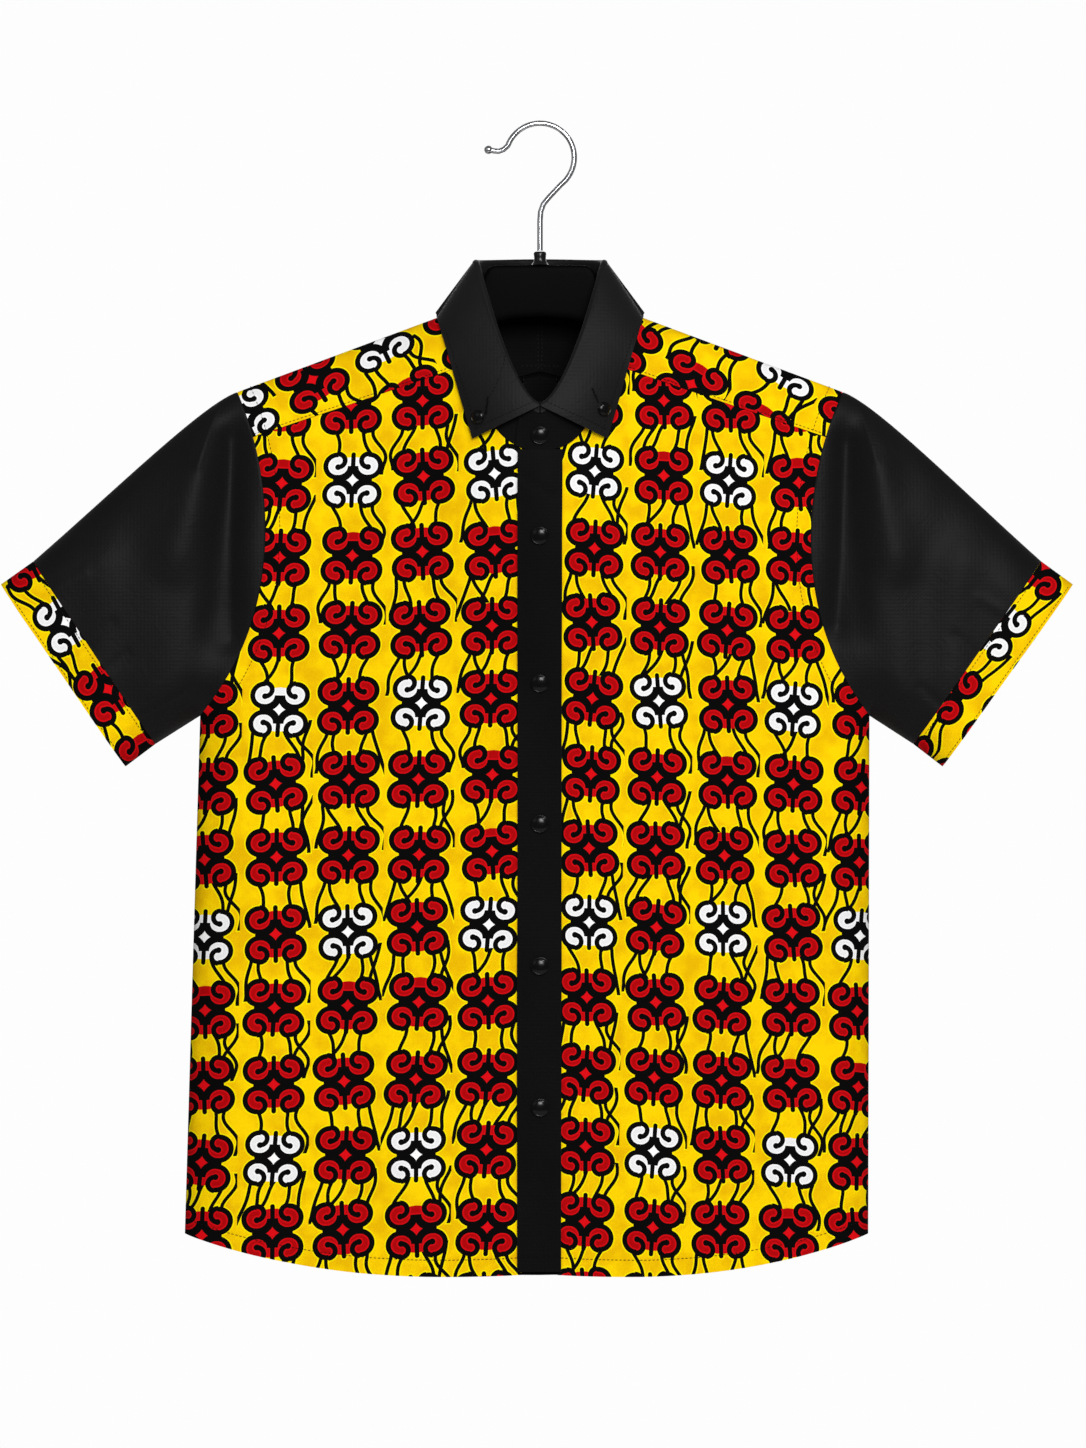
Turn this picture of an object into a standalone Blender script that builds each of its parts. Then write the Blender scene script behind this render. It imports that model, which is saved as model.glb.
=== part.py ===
"""A short-sleeved button-down shirt of printed cotton and plain black cloth, hung on a hanger.

Metres, +Z up, front towards -Y, +X to the viewer's right. The origin is the inside of the
hook's bend, where a rail carries the hanger.

The whole shirt is one hollow form. Seen from the front it has fold lines, where front and back
meet at y = 0: the shoulder ridge, the side seams and the under edges of the sleeves. Away from
a fold line the front and the back part from each other along a quarter ellipse. Each piece of
cloth is a grid of points in the front view, laid on that form and given its thickness.
"""

import math

import bmesh
import bpy
import numpy as np
from mathutils import Vector

MM = 0.001
GAP = 0.3 * MM
FRONT = -1
BACK = 1

# Cloth thickness. Collar and cuffs are doubled cloth.
CLOTH = 1.2 * MM
LINING = 1.0 * MM
CUFF_CLOTH = 1.6 * MM
PLACKET_CLOTH = 1.5 * MM
STAND_CLOTH = 2.0 * MM
LEAF_CLOTH = 1.6 * MM

# The form's depth, each side of y = 0, and how fast it rounds away from a fold line.
ROUNDING = 40 * MM
SHOULDER_DEPTH = 14 * MM
BODY_DEPTH = 24 * MM
NECK_EXTRA_DEPTH = 28 * MM
NECK_SPREAD = 95 * MM
NECK_FADE = 160 * MM
NECK_LEVEL = -240 * MM
DEPTH_FROM = 200 * MM
DEPTH_OVER = 160 * MM

# The neck seam: half width, and heights at the front, the shoulder and the back.
NECK_HALF_WIDTH = 68 * MM
NECK_FRONT_Z = -253 * MM
NECK_SIDE_Z = -145 * MM
NECK_BACK_Z = -143 * MM
NECK_ROUNDNESS = 2.8

# Points of the outline in the front view, as x and z on the viewer's right.
SHOULDER_NECK = (NECK_HALF_WIDTH, NECK_SIDE_Z)
SHOULDER_TIP = (236 * MM, -207.5 * MM)
UNDERARM = (261 * MM, -460 * MM)
HEM_CORNER = (266.5 * MM, -863.5 * MM)
CUFF_SEAM_TOP = (393 * MM, -339.5 * MM)
CUFF_SEAM_FOOT = (295.5 * MM, -482 * MM)
CUFF_TOP = (418 * MM, -357.5 * MM)
CUFF_FOOT = (318.5 * MM, -499.5 * MM)

# Control points of the curved edges.
ARMHOLE_CURVE = (SHOULDER_TIP, (208 * MM, -268 * MM), (192 * MM, -378 * MM), UNDERARM)
SLEEVE_TOP_CURVE = (SHOULDER_TIP, (262 * MM, -216 * MM), (330 * MM, -284 * MM), CUFF_SEAM_TOP)
HEM_CENTRE_Z = -892.5 * MM
HEM_CURVES = {
    FRONT: ((0, HEM_CENTRE_Z), (0.35, -899 * MM), (0.65, -896.5 * MM), (1, HEM_CORNER[1])),
    BACK: ((0, -897.5 * MM), (0.35, -896.5 * MM), (0.65, -895.5 * MM), (1, HEM_CORNER[1])),
}

# Yoke: a seam ends at this step of the armhole, counted from the shoulder.
ARMHOLE_STEPS = 11
YOKE_STEP = 3
YOKE_NECK_Z = -187 * MM
YOKE_BACK_Z = -187 * MM

# Box pleat of the back, under the yoke.
PLEAT_HALF_WIDTH = 13 * MM
PLEAT_EDGE = 3.5 * MM
PLEAT_RAISE = 3 * MM
PLEAT_FOOT_Z = -460 * MM

# The front opening.
PLACKET_HALF_WIDTH = 17.2 * MM
FRONT_EDGE = 14 * MM
CHEST_Z = -430 * MM

# The shirt hangs a little to the viewer's left at the hem.
SWAY = 10.5 * MM

# Collar: the fold line, the points and the outer edge.
FOLD_HALF_WIDTH = 50 * MM
FOLD_FRONT_Y = 48 * MM
FOLD_BACK_Y = 38 * MM
FOLD_FRONT_Z = -218 * MM
FOLD_SIDE_Z = -105 * MM
FOLD_BACK_Z = -103 * MM
FOLD_ROUNDNESS = 1.65
FOLD_RADIUS = 2 * MM
LEAF_LEG = 6 * MM
STAND_HEIGHT = 33 * MM
STAND_OVERLAP = 19 * MM
LEAF_TIP = (52 * MM, -245.5 * MM)
LEAF_SIDE = (81 * MM, -146 * MM)
LEAF_BACK_Y = 56 * MM
LEAF_BACK_Z = -150 * MM
LEAF_BULGE_FRONT = 4.5 * MM
LEAF_BULGE_BACK = 0 * MM
LEAF_REST = 3 * MM
LEAF_START = math.radians(0.6)

# Buttons.
BUTTON_RADIUS = 7 * MM
TIP_BUTTON_RADIUS = 5.5 * MM
BUTTON_THICKNESS = 3.2 * MM
PLACKET_BUTTONS_Z = (-320 * MM, -434.5 * MM, -544 * MM, -654.5 * MM, -764.5 * MM)
STAND_BUTTON_Z = -242.5 * MM

# Hanger.
WIRE_RADIUS = 2.2 * MM
HOOK_RADIUS = 26.7 * MM
HOOK_TAIL = (
    (-28.6, -18.4, 1),
    (-32.2, -19.7, 1),
    (-36.0, -19.4, 1),
    (-37.4, -19.1, 1),
    (-38.4, -18.9, 1.5),
    (-40.4, -18.5, 1.55),
    (-42.4, -18.1, 0.9),
)
HOOK_NECK = ((6.6, -56.0), (2.6, -61.0), (0.5, -67.0), (0.0, -74.0), (0.0, -97.5))
BOSS_TOP = -98 * MM
BOSS_FOOT = -108.2 * MM
PLATE_TOP = -108.5 * MM
HANGER_HALF_WIDTH = 206 * MM

# The largest folds, as soft ridges (height over 0) and troughs, from one point to another in
# the front view of the viewer's right half. Both halves have them.
FOLD_COLUMNS = ("face", "x0", "z0", "x1", "z1", "width", "height")
FOLDS = (
    (FRONT, 254, -226, 283, -350, 17, 4.5),
    (FRONT, 240, -232, 252, -400, 12, -4.5),
    (FRONT, 330, -330, 322, -440, 24, 2.5),
    (FRONT, 225, -470, 205, -800, 30, 3.0),
    (FRONT, 150, -420, 165, -880, 34, -2.5),
    (FRONT, 90, -560, 84, -890, 26, 2.5),
    (BACK, 256, -228, 280, -352, 18, 4.5),
    (BACK, 238, -236, 250, -396, 13, -4.5),
    (BACK, 318, -340, 330, -430, 24, 3.0),
    (BACK, 214, -480, 222, -820, 30, 3.5),
    (BACK, 130, -380, 142, -885, 36, -3.5),
    (BACK, 62, -470, 66, -890, 28, 3.5),
)


def smooth(share):
    """0 to 1 with soft ends."""
    t = np.clip(share, 0, 1)
    return t * t * (3 - 2 * t)


def bezier(points, t):
    """Points of a cubic curve in the front view, one for each t."""
    t = np.asarray(t, float)[..., None]
    a, b, c, d = (np.array(p, float) for p in points)
    return (1 - t) ** 3 * a + 3 * (1 - t) ** 2 * t * b + 3 * (1 - t) * t * t * c + t**3 * d


def between(a, b, share):
    """Points on the straight line from a to b, one for each share."""
    share = np.asarray(share, float)[..., None]
    return np.array(a, float) * (1 - share) + np.array(b, float) * share


# Fold lines of the viewer's right half: shoulder ridge and sleeve top, side seam, sleeve foot.
SLEEVE_TOP_POINTS = 24
FOLD_LINES = (
    np.vstack(
        [
            [SHOULDER_NECK],
            bezier(SLEEVE_TOP_CURVE, np.linspace(0, 1, SLEEVE_TOP_POINTS)),
            [CUFF_TOP],
        ]
    ),
    np.array([HEM_CORNER, UNDERARM, CUFF_SEAM_FOOT, CUFF_FOOT]),
)


def fold_distance(points):
    """Distance of each front-view point to the nearest fold line, and the way to it."""
    halved = np.column_stack([np.abs(points[:, 0]), points[:, 1]])
    best = np.full(len(halved), np.inf)
    away = np.zeros_like(halved)
    for line, inner_side in zip(FOLD_LINES, (1, -1)):
        for start, end in zip(line[:-1], line[1:]):
            along = end - start
            share = np.clip((halved - start) @ along / (along @ along), 0, 1)
            offset = halved - (start + share[:, None] * along)
            distance = np.linalg.norm(offset, axis=1)
            nearer = distance < best - 1e-9
            # On the line itself the way in is across the line.
            inwards = inner_side * np.array([along[1], -along[0]]) / np.linalg.norm(along)
            far = distance[:, None] > 0.2 * MM
            unit = np.where(far, offset / np.maximum(distance, 1e-7)[:, None], inwards)
            best = np.where(nearer, distance, best)
            away = np.where(nearer[:, None], unit, away)
    away[:, 0] *= np.where(points[:, 0] < 0, -1, 1)
    return best, away


def soft_folds(points, face):
    """How far the large folds lift the cloth at each point."""
    lift = np.zeros(len(points))
    halved = np.column_stack([np.abs(points[:, 0]), points[:, 1]])
    for row in FOLDS:
        fold = dict(zip(FOLD_COLUMNS, row))
        if fold["face"] != face:
            continue
        start = np.array([fold["x0"], fold["z0"]]) * MM
        along = np.array([fold["x1"], fold["z1"]]) * MM - start
        share = (halved - start) @ along / (along @ along)
        offset = halved - (start + np.clip(share, 0, 1)[:, None] * along)
        spread = np.linalg.norm(offset, axis=1) / (fold["width"] * MM)
        ends = smooth((share + 0.15) / 0.3) * smooth((1.15 - share) / 0.3)
        lift += fold["height"] * MM * np.exp(-spread * spread) * ends
    return lift


def depth(points, face):
    """How far the form stands from y = 0 at each front-view point."""
    x, z = points[:, 0], points[:, 1]
    distance, _ = fold_distance(points)
    inside = np.clip(1 - distance / ROUNDING, 0, 1)
    round_off = np.sqrt(1 - inside * inside)
    full = SHOULDER_DEPTH + (BODY_DEPTH - SHOULDER_DEPTH) * smooth((-z - DEPTH_FROM) / DEPTH_OVER)
    below = np.maximum(0, NECK_LEVEL - z) / NECK_FADE
    full = full + NECK_EXTRA_DEPTH * np.exp(-((x / NECK_SPREAD) ** 2) - below * below)
    lift = soft_folds(points, face)
    if face == BACK:
        side = 1 - smooth((np.abs(x) - PLEAT_HALF_WIDTH) / PLEAT_EDGE)
        down = 1 - smooth((YOKE_BACK_Z - z) / (YOKE_BACK_Z - PLEAT_FOOT_Z))
        under_yoke = z < YOKE_BACK_Z - 0.1 * MM
        lift = lift + PLEAT_RAISE * side * down * under_yoke
    return (full + lift) * round_off


def outward(points, face):
    """Unit normals of the form, pointing out of the shirt, at front-view points."""
    nudge = 0.3 * MM
    step = 0.1 * MM
    distance, away = fold_distance(points)
    near = np.maximum(0, nudge - distance)[:, None]
    base = points + away * near
    slope = np.empty_like(points)
    for axis in (0, 1):
        move = np.zeros(2)
        move[axis] = step
        slope[:, axis] = (depth(base + move, face) - depth(base - move, face)) / (2 * step)
    normal = np.column_stack([-slope[:, 0], np.full(len(points), float(face)), -slope[:, 1]])
    normal /= np.linalg.norm(normal, axis=1)[:, None]
    # On a fold line the normal lies in the front view's plane.
    flat = np.column_stack([-away[:, 0], np.zeros(len(points)), -away[:, 1]])
    share = np.clip(distance / nudge, 0, 1)[:, None]
    normal = flat * (1 - share) + normal * share
    return normal / np.linalg.norm(normal, axis=1)[:, None]


def lay(grid, face, lift=0.0):
    """Lays a grid of front-view points on the form, moved out by lift. face is one for all
    points, or one for each row of the grid."""
    shape = grid.shape[:2]
    faces = np.broadcast_to(np.asarray(face), (shape[0],))
    laid = np.empty((*shape, 3))
    normals = np.empty((*shape, 3))
    for row in range(shape[0]):
        points = grid[row]
        y = faces[row] * depth(points, faces[row])
        normals[row] = outward(points, faces[row])
        laid[row] = np.column_stack([points[:, 0], y, points[:, 1]])
    return laid + normals * lift, normals


def hang(points):
    """Leans the hanging cloth towards the viewer's left, most at the hem."""
    drop = np.clip((SHOULDER_TIP[1] - points[..., 2]) / (SHOULDER_TIP[1] - HEM_CORNER[1]), 0, 1)
    out = np.clip(np.abs(points[..., 0]) / UNDERARM[0], 0, 1)
    hung = points.copy()
    hung[..., 0] -= SWAY * drop * out
    return hung


def material(name, colour, roughness, metallic=0.0):
    """A plain finish for one kind of piece."""
    found = bpy.data.materials.get(name)
    if found:
        return found
    made = bpy.data.materials.new(name)
    made.use_nodes = True
    shader = made.node_tree.nodes["Principled BSDF"]
    shader.inputs["Base Color"].default_value = (*colour, 1)
    shader.inputs["Roughness"].default_value = roughness
    shader.inputs["Metallic"].default_value = metallic
    return made


def printed_cotton():
    return material("printed cotton", (0.87, 0.60, 0.02), 0.75)


def black_cotton():
    return material("black cotton", (0.012, 0.012, 0.013), 0.8)


def black_resin():
    return material("black resin", (0.01, 0.01, 0.012), 0.25)


def black_plastic():
    return material("black plastic", (0.008, 0.008, 0.009), 0.45)


def chromed_steel():
    return material("chromed steel", (0.75, 0.76, 0.78), 0.15, 1.0)


def new_object(name, mesh, finish, smooth_angle=35):
    """Adds a mesh to the shirt's collection under its node name."""
    obj = bpy.data.objects.new(name, mesh)
    mesh.materials.append(finish)
    mesh.shade_smooth()
    mesh.set_sharp_from_angle(angle=math.radians(smooth_angle))
    bpy.data.collections["shirt_on_hanger"].objects.link(obj)
    return obj


def wall(name, outer, inner, finish, ring=False):
    """A closed wall between two grids of points. Its rows may close into a ring."""
    rows, columns = outer.shape[:2]
    points = np.vstack([outer.reshape(-1, 3), inner.reshape(-1, 3)])
    below = rows * columns
    faces = []

    def quad(a, b, c, d):
        faces.append((a, b, c))
        faces.append((a, c, d))

    row_pairs = [(i, (i + 1) % rows) for i in range(rows if ring else rows - 1)]
    for i, following in row_pairs:
        for j in range(columns - 1):
            a, b = i * columns + j, i * columns + j + 1
            c, d = following * columns + j + 1, following * columns + j
            quad(a, b, c, d)
            faces.append((below + a, below + c, below + b))
            faces.append((below + a, below + d, below + c))
        for j, turned in ((0, False), (columns - 1, True)):
            a, b = i * columns + j, following * columns + j
            edge = (a, b, below + b, below + a)
            quad(*(reversed(edge) if turned else edge))
    if not ring:
        for i, turned in ((0, True), (rows - 1, False)):
            for j in range(columns - 1):
                a = i * columns + j
                edge = (a, a + 1, below + a + 1, below + a)
                quad(*(reversed(edge) if turned else edge))
    corners = points[np.array(faces)]
    if np.linalg.det(corners).sum() < 0:
        faces = [tuple(reversed(face)) for face in faces]
    mesh = bpy.data.meshes.new(name)
    mesh.from_pydata(points.tolist(), [], faces)
    mesh.validate()
    return new_object(name, mesh, finish)


def cloth(name, grid, face, thickness, finish, lift=0.0, ring=False):
    """A piece of cloth on the form, with its outer face lifted and its thickness inwards."""
    outer, normals = lay(grid, face, lift)
    inner = outer - normals * thickness
    if not ring and np.ndim(face) == 0:
        # Front and back stay apart where they meet at a fold line.
        for points in (outer, inner):
            points[..., 1] = face * np.maximum(face * points[..., 1], GAP / 2)
    return wall(name, hang(outer), hang(inner), finish, ring)


def mirrored(grid):
    """The same grid on the other side of the shirt."""
    return grid * np.array([-1, 1])


def armhole(step):
    """Point of the armhole seam, counted in steps that are short at both ends."""
    return bezier(ARMHOLE_CURVE, (1 - np.cos(math.pi * np.asarray(step) / ARMHOLE_STEPS)) / 2)


def neck_seam(angle):
    """Front-view point of the neck seam, from 0 at the front to pi at the back."""
    angle = np.asarray(angle, float)
    turn = np.abs(np.sin(angle))
    front = NECK_FRONT_Z + (NECK_SIDE_Z - NECK_FRONT_Z) * turn**NECK_ROUNDNESS
    back = NECK_SIDE_Z + (NECK_BACK_Z - NECK_SIDE_Z) * np.cos(angle) ** 2
    z = np.where(np.cos(angle) >= 0, front, back)
    return np.stack([NECK_HALF_WIDTH * np.sin(angle), z], axis=-1)


YOKE_NECK_ANGLE = math.asin(
    ((YOKE_NECK_Z - NECK_FRONT_Z) / (NECK_SIDE_Z - NECK_FRONT_Z)) ** (1 / NECK_ROUNDNESS)
)
BODY_ROWS = 12
NECK_ROWS = 5


def panel_edges(inner_x, to_neck):
    """The inner and outer edges of half a body panel, row by row from the hem up."""
    share = np.linspace(0, 1, BODY_ROWS + 1)
    outer = [between(HEM_CORNER, UNDERARM, share)]
    inner = [between((inner_x, HEM_CENTRE_Z), (inner_x, CHEST_Z), share)]
    steps = np.arange(ARMHOLE_STEPS - 1, YOKE_STEP - 1, -1)
    outer.append(armhole(steps))
    rows = len(steps)
    if to_neck:
        start_angle = math.asin(inner_x / NECK_HALF_WIDTH)
        top = neck_seam(start_angle)
        up = np.linspace(0, 1, rows - NECK_ROWS + 1)[1:]
        inner.append(between((inner_x, CHEST_Z), top, up))
        angles = np.linspace(start_angle, YOKE_NECK_ANGLE, NECK_ROWS + 1)[1:]
        inner.append(neck_seam(angles))
    else:
        up = np.linspace(0, 1, rows + 1)[1:]
        inner.append(between((inner_x, CHEST_Z), (inner_x, YOKE_BACK_Z), up))
    inner, outer = np.vstack(inner), np.vstack(outer)
    # The yoke's edge lies one gap above the panel's.
    outer[-1] += (0, -GAP)
    inner[-1] += (0, -GAP)
    return inner, outer


def panel_grid(inner, outer, columns, face):
    """Half a body panel: straight rows between two edges, with the hem's curve below."""
    grid = inner[:, None, :] * (1 - columns[None, :, None])
    grid = grid + outer[:, None, :] * columns[None, :, None]
    hem = bezier(HEM_CURVES[face], np.linspace(0, 1, 60))
    share = np.linspace(0, 1, BODY_ROWS + 1)
    for row in range(BODY_ROWS // 2):
        half_width = np.abs(outer[0, 0])
        u = np.abs(grid[row, :, 0]) / half_width
        curved = np.interp(u, hem[:, 0], hem[:, 1])
        straight = HEM_CENTRE_Z + (HEM_CORNER[1] - HEM_CENTRE_Z) * u
        grid[row, :, 1] += (curved - straight) * (1 - share[row] * 2)
    return grid


def dense_outside(count):
    """Shares across a panel, closer together towards the side seam."""
    return 1 - (1 - np.linspace(0, 1, count + 1)) ** 2


FRONT_COLUMNS = 11
BACK_COLUMNS = 10


def make_fronts():
    inner, outer = panel_edges(FRONT_EDGE, to_neck=True)
    grid = panel_grid(inner, outer, dense_outside(FRONT_COLUMNS), FRONT)
    cloth("front_left", grid, FRONT, CLOTH, printed_cotton())
    cloth("front_right", mirrored(grid), FRONT, CLOTH, printed_cotton())


def make_back():
    inner, outer = panel_edges(0, to_neck=False)
    pleat = np.array([PLEAT_HALF_WIDTH, PLEAT_HALF_WIDTH + PLEAT_EDGE]) / UNDERARM[0]
    columns = np.sort(np.append(dense_outside(BACK_COLUMNS), pleat))
    half = panel_grid(inner, outer, columns, BACK)
    grid = np.concatenate([mirrored(half)[:, :0:-1], half], axis=1)
    cloth("back", grid, BACK, CLOTH, black_cotton())


YOKE_FRONT_ROWS = 5
YOKE_NECK_ROWS = 6
YOKE_CENTRE_ROWS = 2
YOKE_COLUMNS = 7


def yoke_grid():
    """Half of the yoke, from its front seam over the shoulder ridge to its back seam."""
    yoke_share = (1 - math.cos(math.pi * YOKE_STEP / ARMHOLE_STEPS)) / 2
    front_share = np.linspace(1, 0, YOKE_FRONT_ROWS + 1)
    neck = [neck_seam(math.pi / 2 + (YOKE_NECK_ANGLE - math.pi / 2) * front_share**1.5)]
    sleeve = [bezier(ARMHOLE_CURVE, yoke_share * front_share**2)]
    back_rows = YOKE_NECK_ROWS + YOKE_CENTRE_ROWS
    back_share = np.linspace(0, 1, back_rows + 1)[1:]
    # The two halves stay a gap apart at the centre back.
    last_angle = math.pi - math.asin(GAP / 2 / NECK_HALF_WIDTH)
    neck.append(neck_seam(np.linspace(math.pi / 2, last_angle, YOKE_NECK_ROWS + 1)[1:]))
    down = np.linspace(0, 1, YOKE_CENTRE_ROWS + 1)[1:]
    neck.append(between((GAP / 2, NECK_BACK_Z), (GAP / 2, YOKE_BACK_Z), down))
    sleeve.append(bezier(ARMHOLE_CURVE, yoke_share * back_share**2))
    neck, sleeve = np.vstack(neck), np.vstack(sleeve)
    across = np.linspace(0, 1, YOKE_COLUMNS + 1)[None, :, None]
    faces = [FRONT] * (YOKE_FRONT_ROWS + 1) + [BACK] * back_rows
    return neck[:, None, :] * (1 - across) + sleeve[:, None, :] * across, faces


def make_yokes():
    grid, faces = yoke_grid()
    for side, half in (("left", grid), ("right", mirrored(grid))):
        cloth(f"yoke_{side}", half, faces, CLOTH, printed_cotton())
        lining_lift = -(CLOTH + GAP)
        cloth(f"yoke_lining_{side}", half, faces, LINING, black_cotton(), lining_lift)


SLEEVE_ROWS = 8
CUFF_ROWS = 2


def around(front_edge):
    """A tube's ring: down the front from the top edge and up the back."""
    return np.concatenate([front_edge, front_edge[-2:0:-1]], axis=0)


def sleeve_grids():
    """The sleeve and its cuff, a row for each step round the arm."""
    steps = np.arange(ARMHOLE_STEPS + 1)
    share = (1 - np.cos(math.pi * steps / ARMHOLE_STEPS)) / 2
    start = armhole(steps)
    end = between(CUFF_SEAM_TOP, CUFF_SEAM_FOOT, share)
    mouth = between(CUFF_TOP, CUFF_FOOT, share)
    length = np.linalg.norm(end - start, axis=1)
    rows = []
    for along in np.linspace(0, 1, SLEEVE_ROWS + 1):
        straight = start * (1 - along) + end * along
        top = bezier(SLEEVE_TOP_CURVE, along)
        bend = top - between(SHOULDER_TIP, CUFF_SEAM_TOP, along)
        row = straight + bend * (1 - share)[:, None] ** 2
        if along == 0:
            row = row + (end - start) * (1.2 * GAP / length)[:, None]
        rows.append(row)
    rows[-1] = rows[-1] - (mouth - end) * (GAP / 2 / np.linalg.norm(mouth - end, axis=1))[:, None]
    seam = end + (mouth - end) * (GAP / 2 / np.linalg.norm(mouth - end, axis=1))[:, None]
    cuff = [seam * (1 - s) + mouth * s for s in np.linspace(0, 1, CUFF_ROWS + 1)]
    faces = [FRONT] * (ARMHOLE_STEPS + 1) + [BACK] * (ARMHOLE_STEPS - 1)
    return around(np.stack(rows, axis=1)), around(np.stack(cuff, axis=1)), faces


def make_sleeves():
    sleeve, cuff, faces = sleeve_grids()
    for side, flip in (("left", lambda g: g), ("right", mirrored)):
        cloth(f"sleeve_{side}", flip(sleeve), faces, CLOTH, black_cotton(), ring=True)
        cloth(f"cuff_{side}", flip(cuff), faces, CUFF_CLOTH, printed_cotton(), ring=True)


def make_plackets():
    """The buttonhole band on top and the button band beside the panels' edges."""
    levels = panel_edges(FRONT_EDGE, to_neck=True)[0]
    levels = levels[np.isclose(levels[:, 0], FRONT_EDGE)][:, 1]
    levels[-1] = NECK_FRONT_Z - GAP
    for name, half_width, lift, thickness in (
        ("placket", PLACKET_HALF_WIDTH, GAP + PLACKET_CLOTH, PLACKET_CLOTH),
        ("placket_under", FRONT_EDGE - GAP, 0.0, CLOTH),
    ):
        x = np.linspace(-half_width, half_width, 3)
        grid = np.stack(np.meshgrid(x, levels), axis=-1)
        cloth(name, grid, FRONT, thickness, black_cotton(), lift)


def neck_ring(angle):
    """Points of the neck seam all round, on the form. The angle may pass a full turn."""
    flat = neck_seam(angle)
    faces = np.where(np.cos(angle) >= 0, FRONT, BACK)
    points = np.empty((len(flat), 3))
    for i, face in enumerate(faces):
        y = face * depth(flat[i : i + 1], face)[0]
        points[i] = (flat[i, 0], y, flat[i, 1])
    return points


def fold_ring(angle):
    """The collar's fold line all round, and the level way out from it."""
    front = np.cos(angle) >= 0
    reach = np.where(front, FOLD_FRONT_Y, FOLD_BACK_Y)
    turn = np.abs(np.sin(angle))
    z_front = FOLD_FRONT_Z + (FOLD_SIDE_Z - FOLD_FRONT_Z) * turn**FOLD_ROUNDNESS
    z_back = FOLD_SIDE_Z + (FOLD_BACK_Z - FOLD_SIDE_Z) * np.cos(angle) ** 2
    z = np.where(front, z_front, z_back)
    points = np.column_stack([FOLD_HALF_WIDTH * np.sin(angle), -reach * np.cos(angle), z])
    way = np.column_stack(
        [np.sin(angle) / FOLD_HALF_WIDTH, -np.cos(angle) / reach, np.zeros(len(z))]
    )
    return points, way / np.linalg.norm(way, axis=1)[:, None]


def stand_ends(angle):
    """Foot and top of the stand's middle surface at each angle."""
    foot, (fold, way) = neck_ring(angle), fold_ring(angle)
    up = fold - foot
    length = np.linalg.norm(up, axis=1)[:, None]
    height = np.minimum(STAND_HEIGHT, length - FOLD_RADIUS - LEAF_LEG)
    up = up / length
    centred = foot - way * (STAND_CLOTH / 2 + GAP)
    return centred + up * 2.5 * GAP, centred + up * height, up, way


LAP = math.asin(STAND_OVERLAP / NECK_HALF_WIDTH)
COLLAR_ANGLES = np.linspace(LEAF_START, 2 * math.pi - LEAF_START, 45)


def lap_lift(angle):
    """How far the band stands out, to lap over its other end at the front."""
    return (STAND_CLOTH + GAP) * (1 - smooth((angle - LAP) / math.radians(25)))


def make_stand():
    """The collar band. Its left end laps over the right one at the front."""
    full_turn = 2 * math.pi
    mirrored_start = -COLLAR_ANGLES[1::-1]
    ends = (-LAP, *mirrored_start), (full_turn + LAP / 4, full_turn + LAP / 2)
    angle = np.concatenate([ends[0], COLLAR_ANGLES, ends[1]])
    foot, top, _, way = stand_ends(angle)
    over = lap_lift(angle)[:, None] * (0, -1, 0)
    rows = []
    for share in (0, 0.5, 1):
        rows.append(foot * (1 - share) + top * share + over)
    middle = np.stack(rows, axis=1)
    half = way[:, None, :] * STAND_CLOTH / 2
    wall("collar_stand", middle + half, middle - half, black_cotton())


def leaf_edge(angle):
    """The leaf's outer edge: points at the front, level at the back."""
    turn = np.where(angle > math.pi, 2 * math.pi - angle, angle)
    side = np.where(angle > math.pi, -1, 1)
    quarter = math.pi / 2
    front = between(LEAF_TIP, LEAF_SIDE, np.clip(turn / quarter, 0, 1))
    ridge = np.interp(
        front[:, 0], (SHOULDER_NECK[0], SHOULDER_TIP[0]), (SHOULDER_NECK[1], SHOULDER_TIP[1])
    )
    on_form = (depth(front, FRONT) + LEAF_REST) * (front[:, 1] < ridge)
    x = np.where(turn < quarter, front[:, 0], LEAF_SIDE[0] * np.sin(turn))
    y = np.where(turn < quarter, -on_form, LEAF_BACK_Y * np.abs(np.cos(turn)))
    back_z = LEAF_SIDE[1] + (LEAF_BACK_Z - LEAF_SIDE[1]) * np.cos(turn) ** 2
    z = np.where(turn < quarter, front[:, 1], back_z)
    return np.column_stack([x * side, y, z])


FALL_STEPS = 4
FOLD_STEPS = 3


def leaf_middle(angle):
    """The leaf's middle surface: up from the stand, over the fold and down to its edge."""
    _, stand_top, up, _ = stand_ends(angle)
    fold, way = fold_ring(angle)
    edge = leaf_edge(angle)
    lift = np.maximum(lap_lift(angle), lap_lift(2 * math.pi - angle))
    over = lift[:, None] * (0, -1, 0)
    crown = fold - (0, 0, FOLD_RADIUS) + over
    columns = [stand_top + up * 2 * GAP + over]
    for turn in np.linspace(math.pi, 0, FOLD_STEPS + 1):
        lift = np.array([0, 0, FOLD_RADIUS * math.sin(turn)])
        columns.append(crown + way * FOLD_RADIUS * math.cos(turn) + lift)
    start = columns[-1]
    front = np.clip(np.cos(angle), 0, 1)[:, None]
    bulge = LEAF_BULGE_BACK + (LEAF_BULGE_FRONT - LEAF_BULGE_BACK) * front
    for share in np.linspace(0, 1, FALL_STEPS + 1)[1:]:
        point = start * (1 - share) + edge * share
        columns.append(point + way * bulge * 4 * share * (1 - share))
    return np.stack(columns, axis=1)


def grid_normals(grid):
    """Unit normals of a grid of points, from its neighbours."""
    down = np.gradient(grid, axis=1)
    along = np.gradient(grid, axis=0)
    normals = np.cross(along, down)
    return normals / np.linalg.norm(normals, axis=2)[:, :, None]


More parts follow.
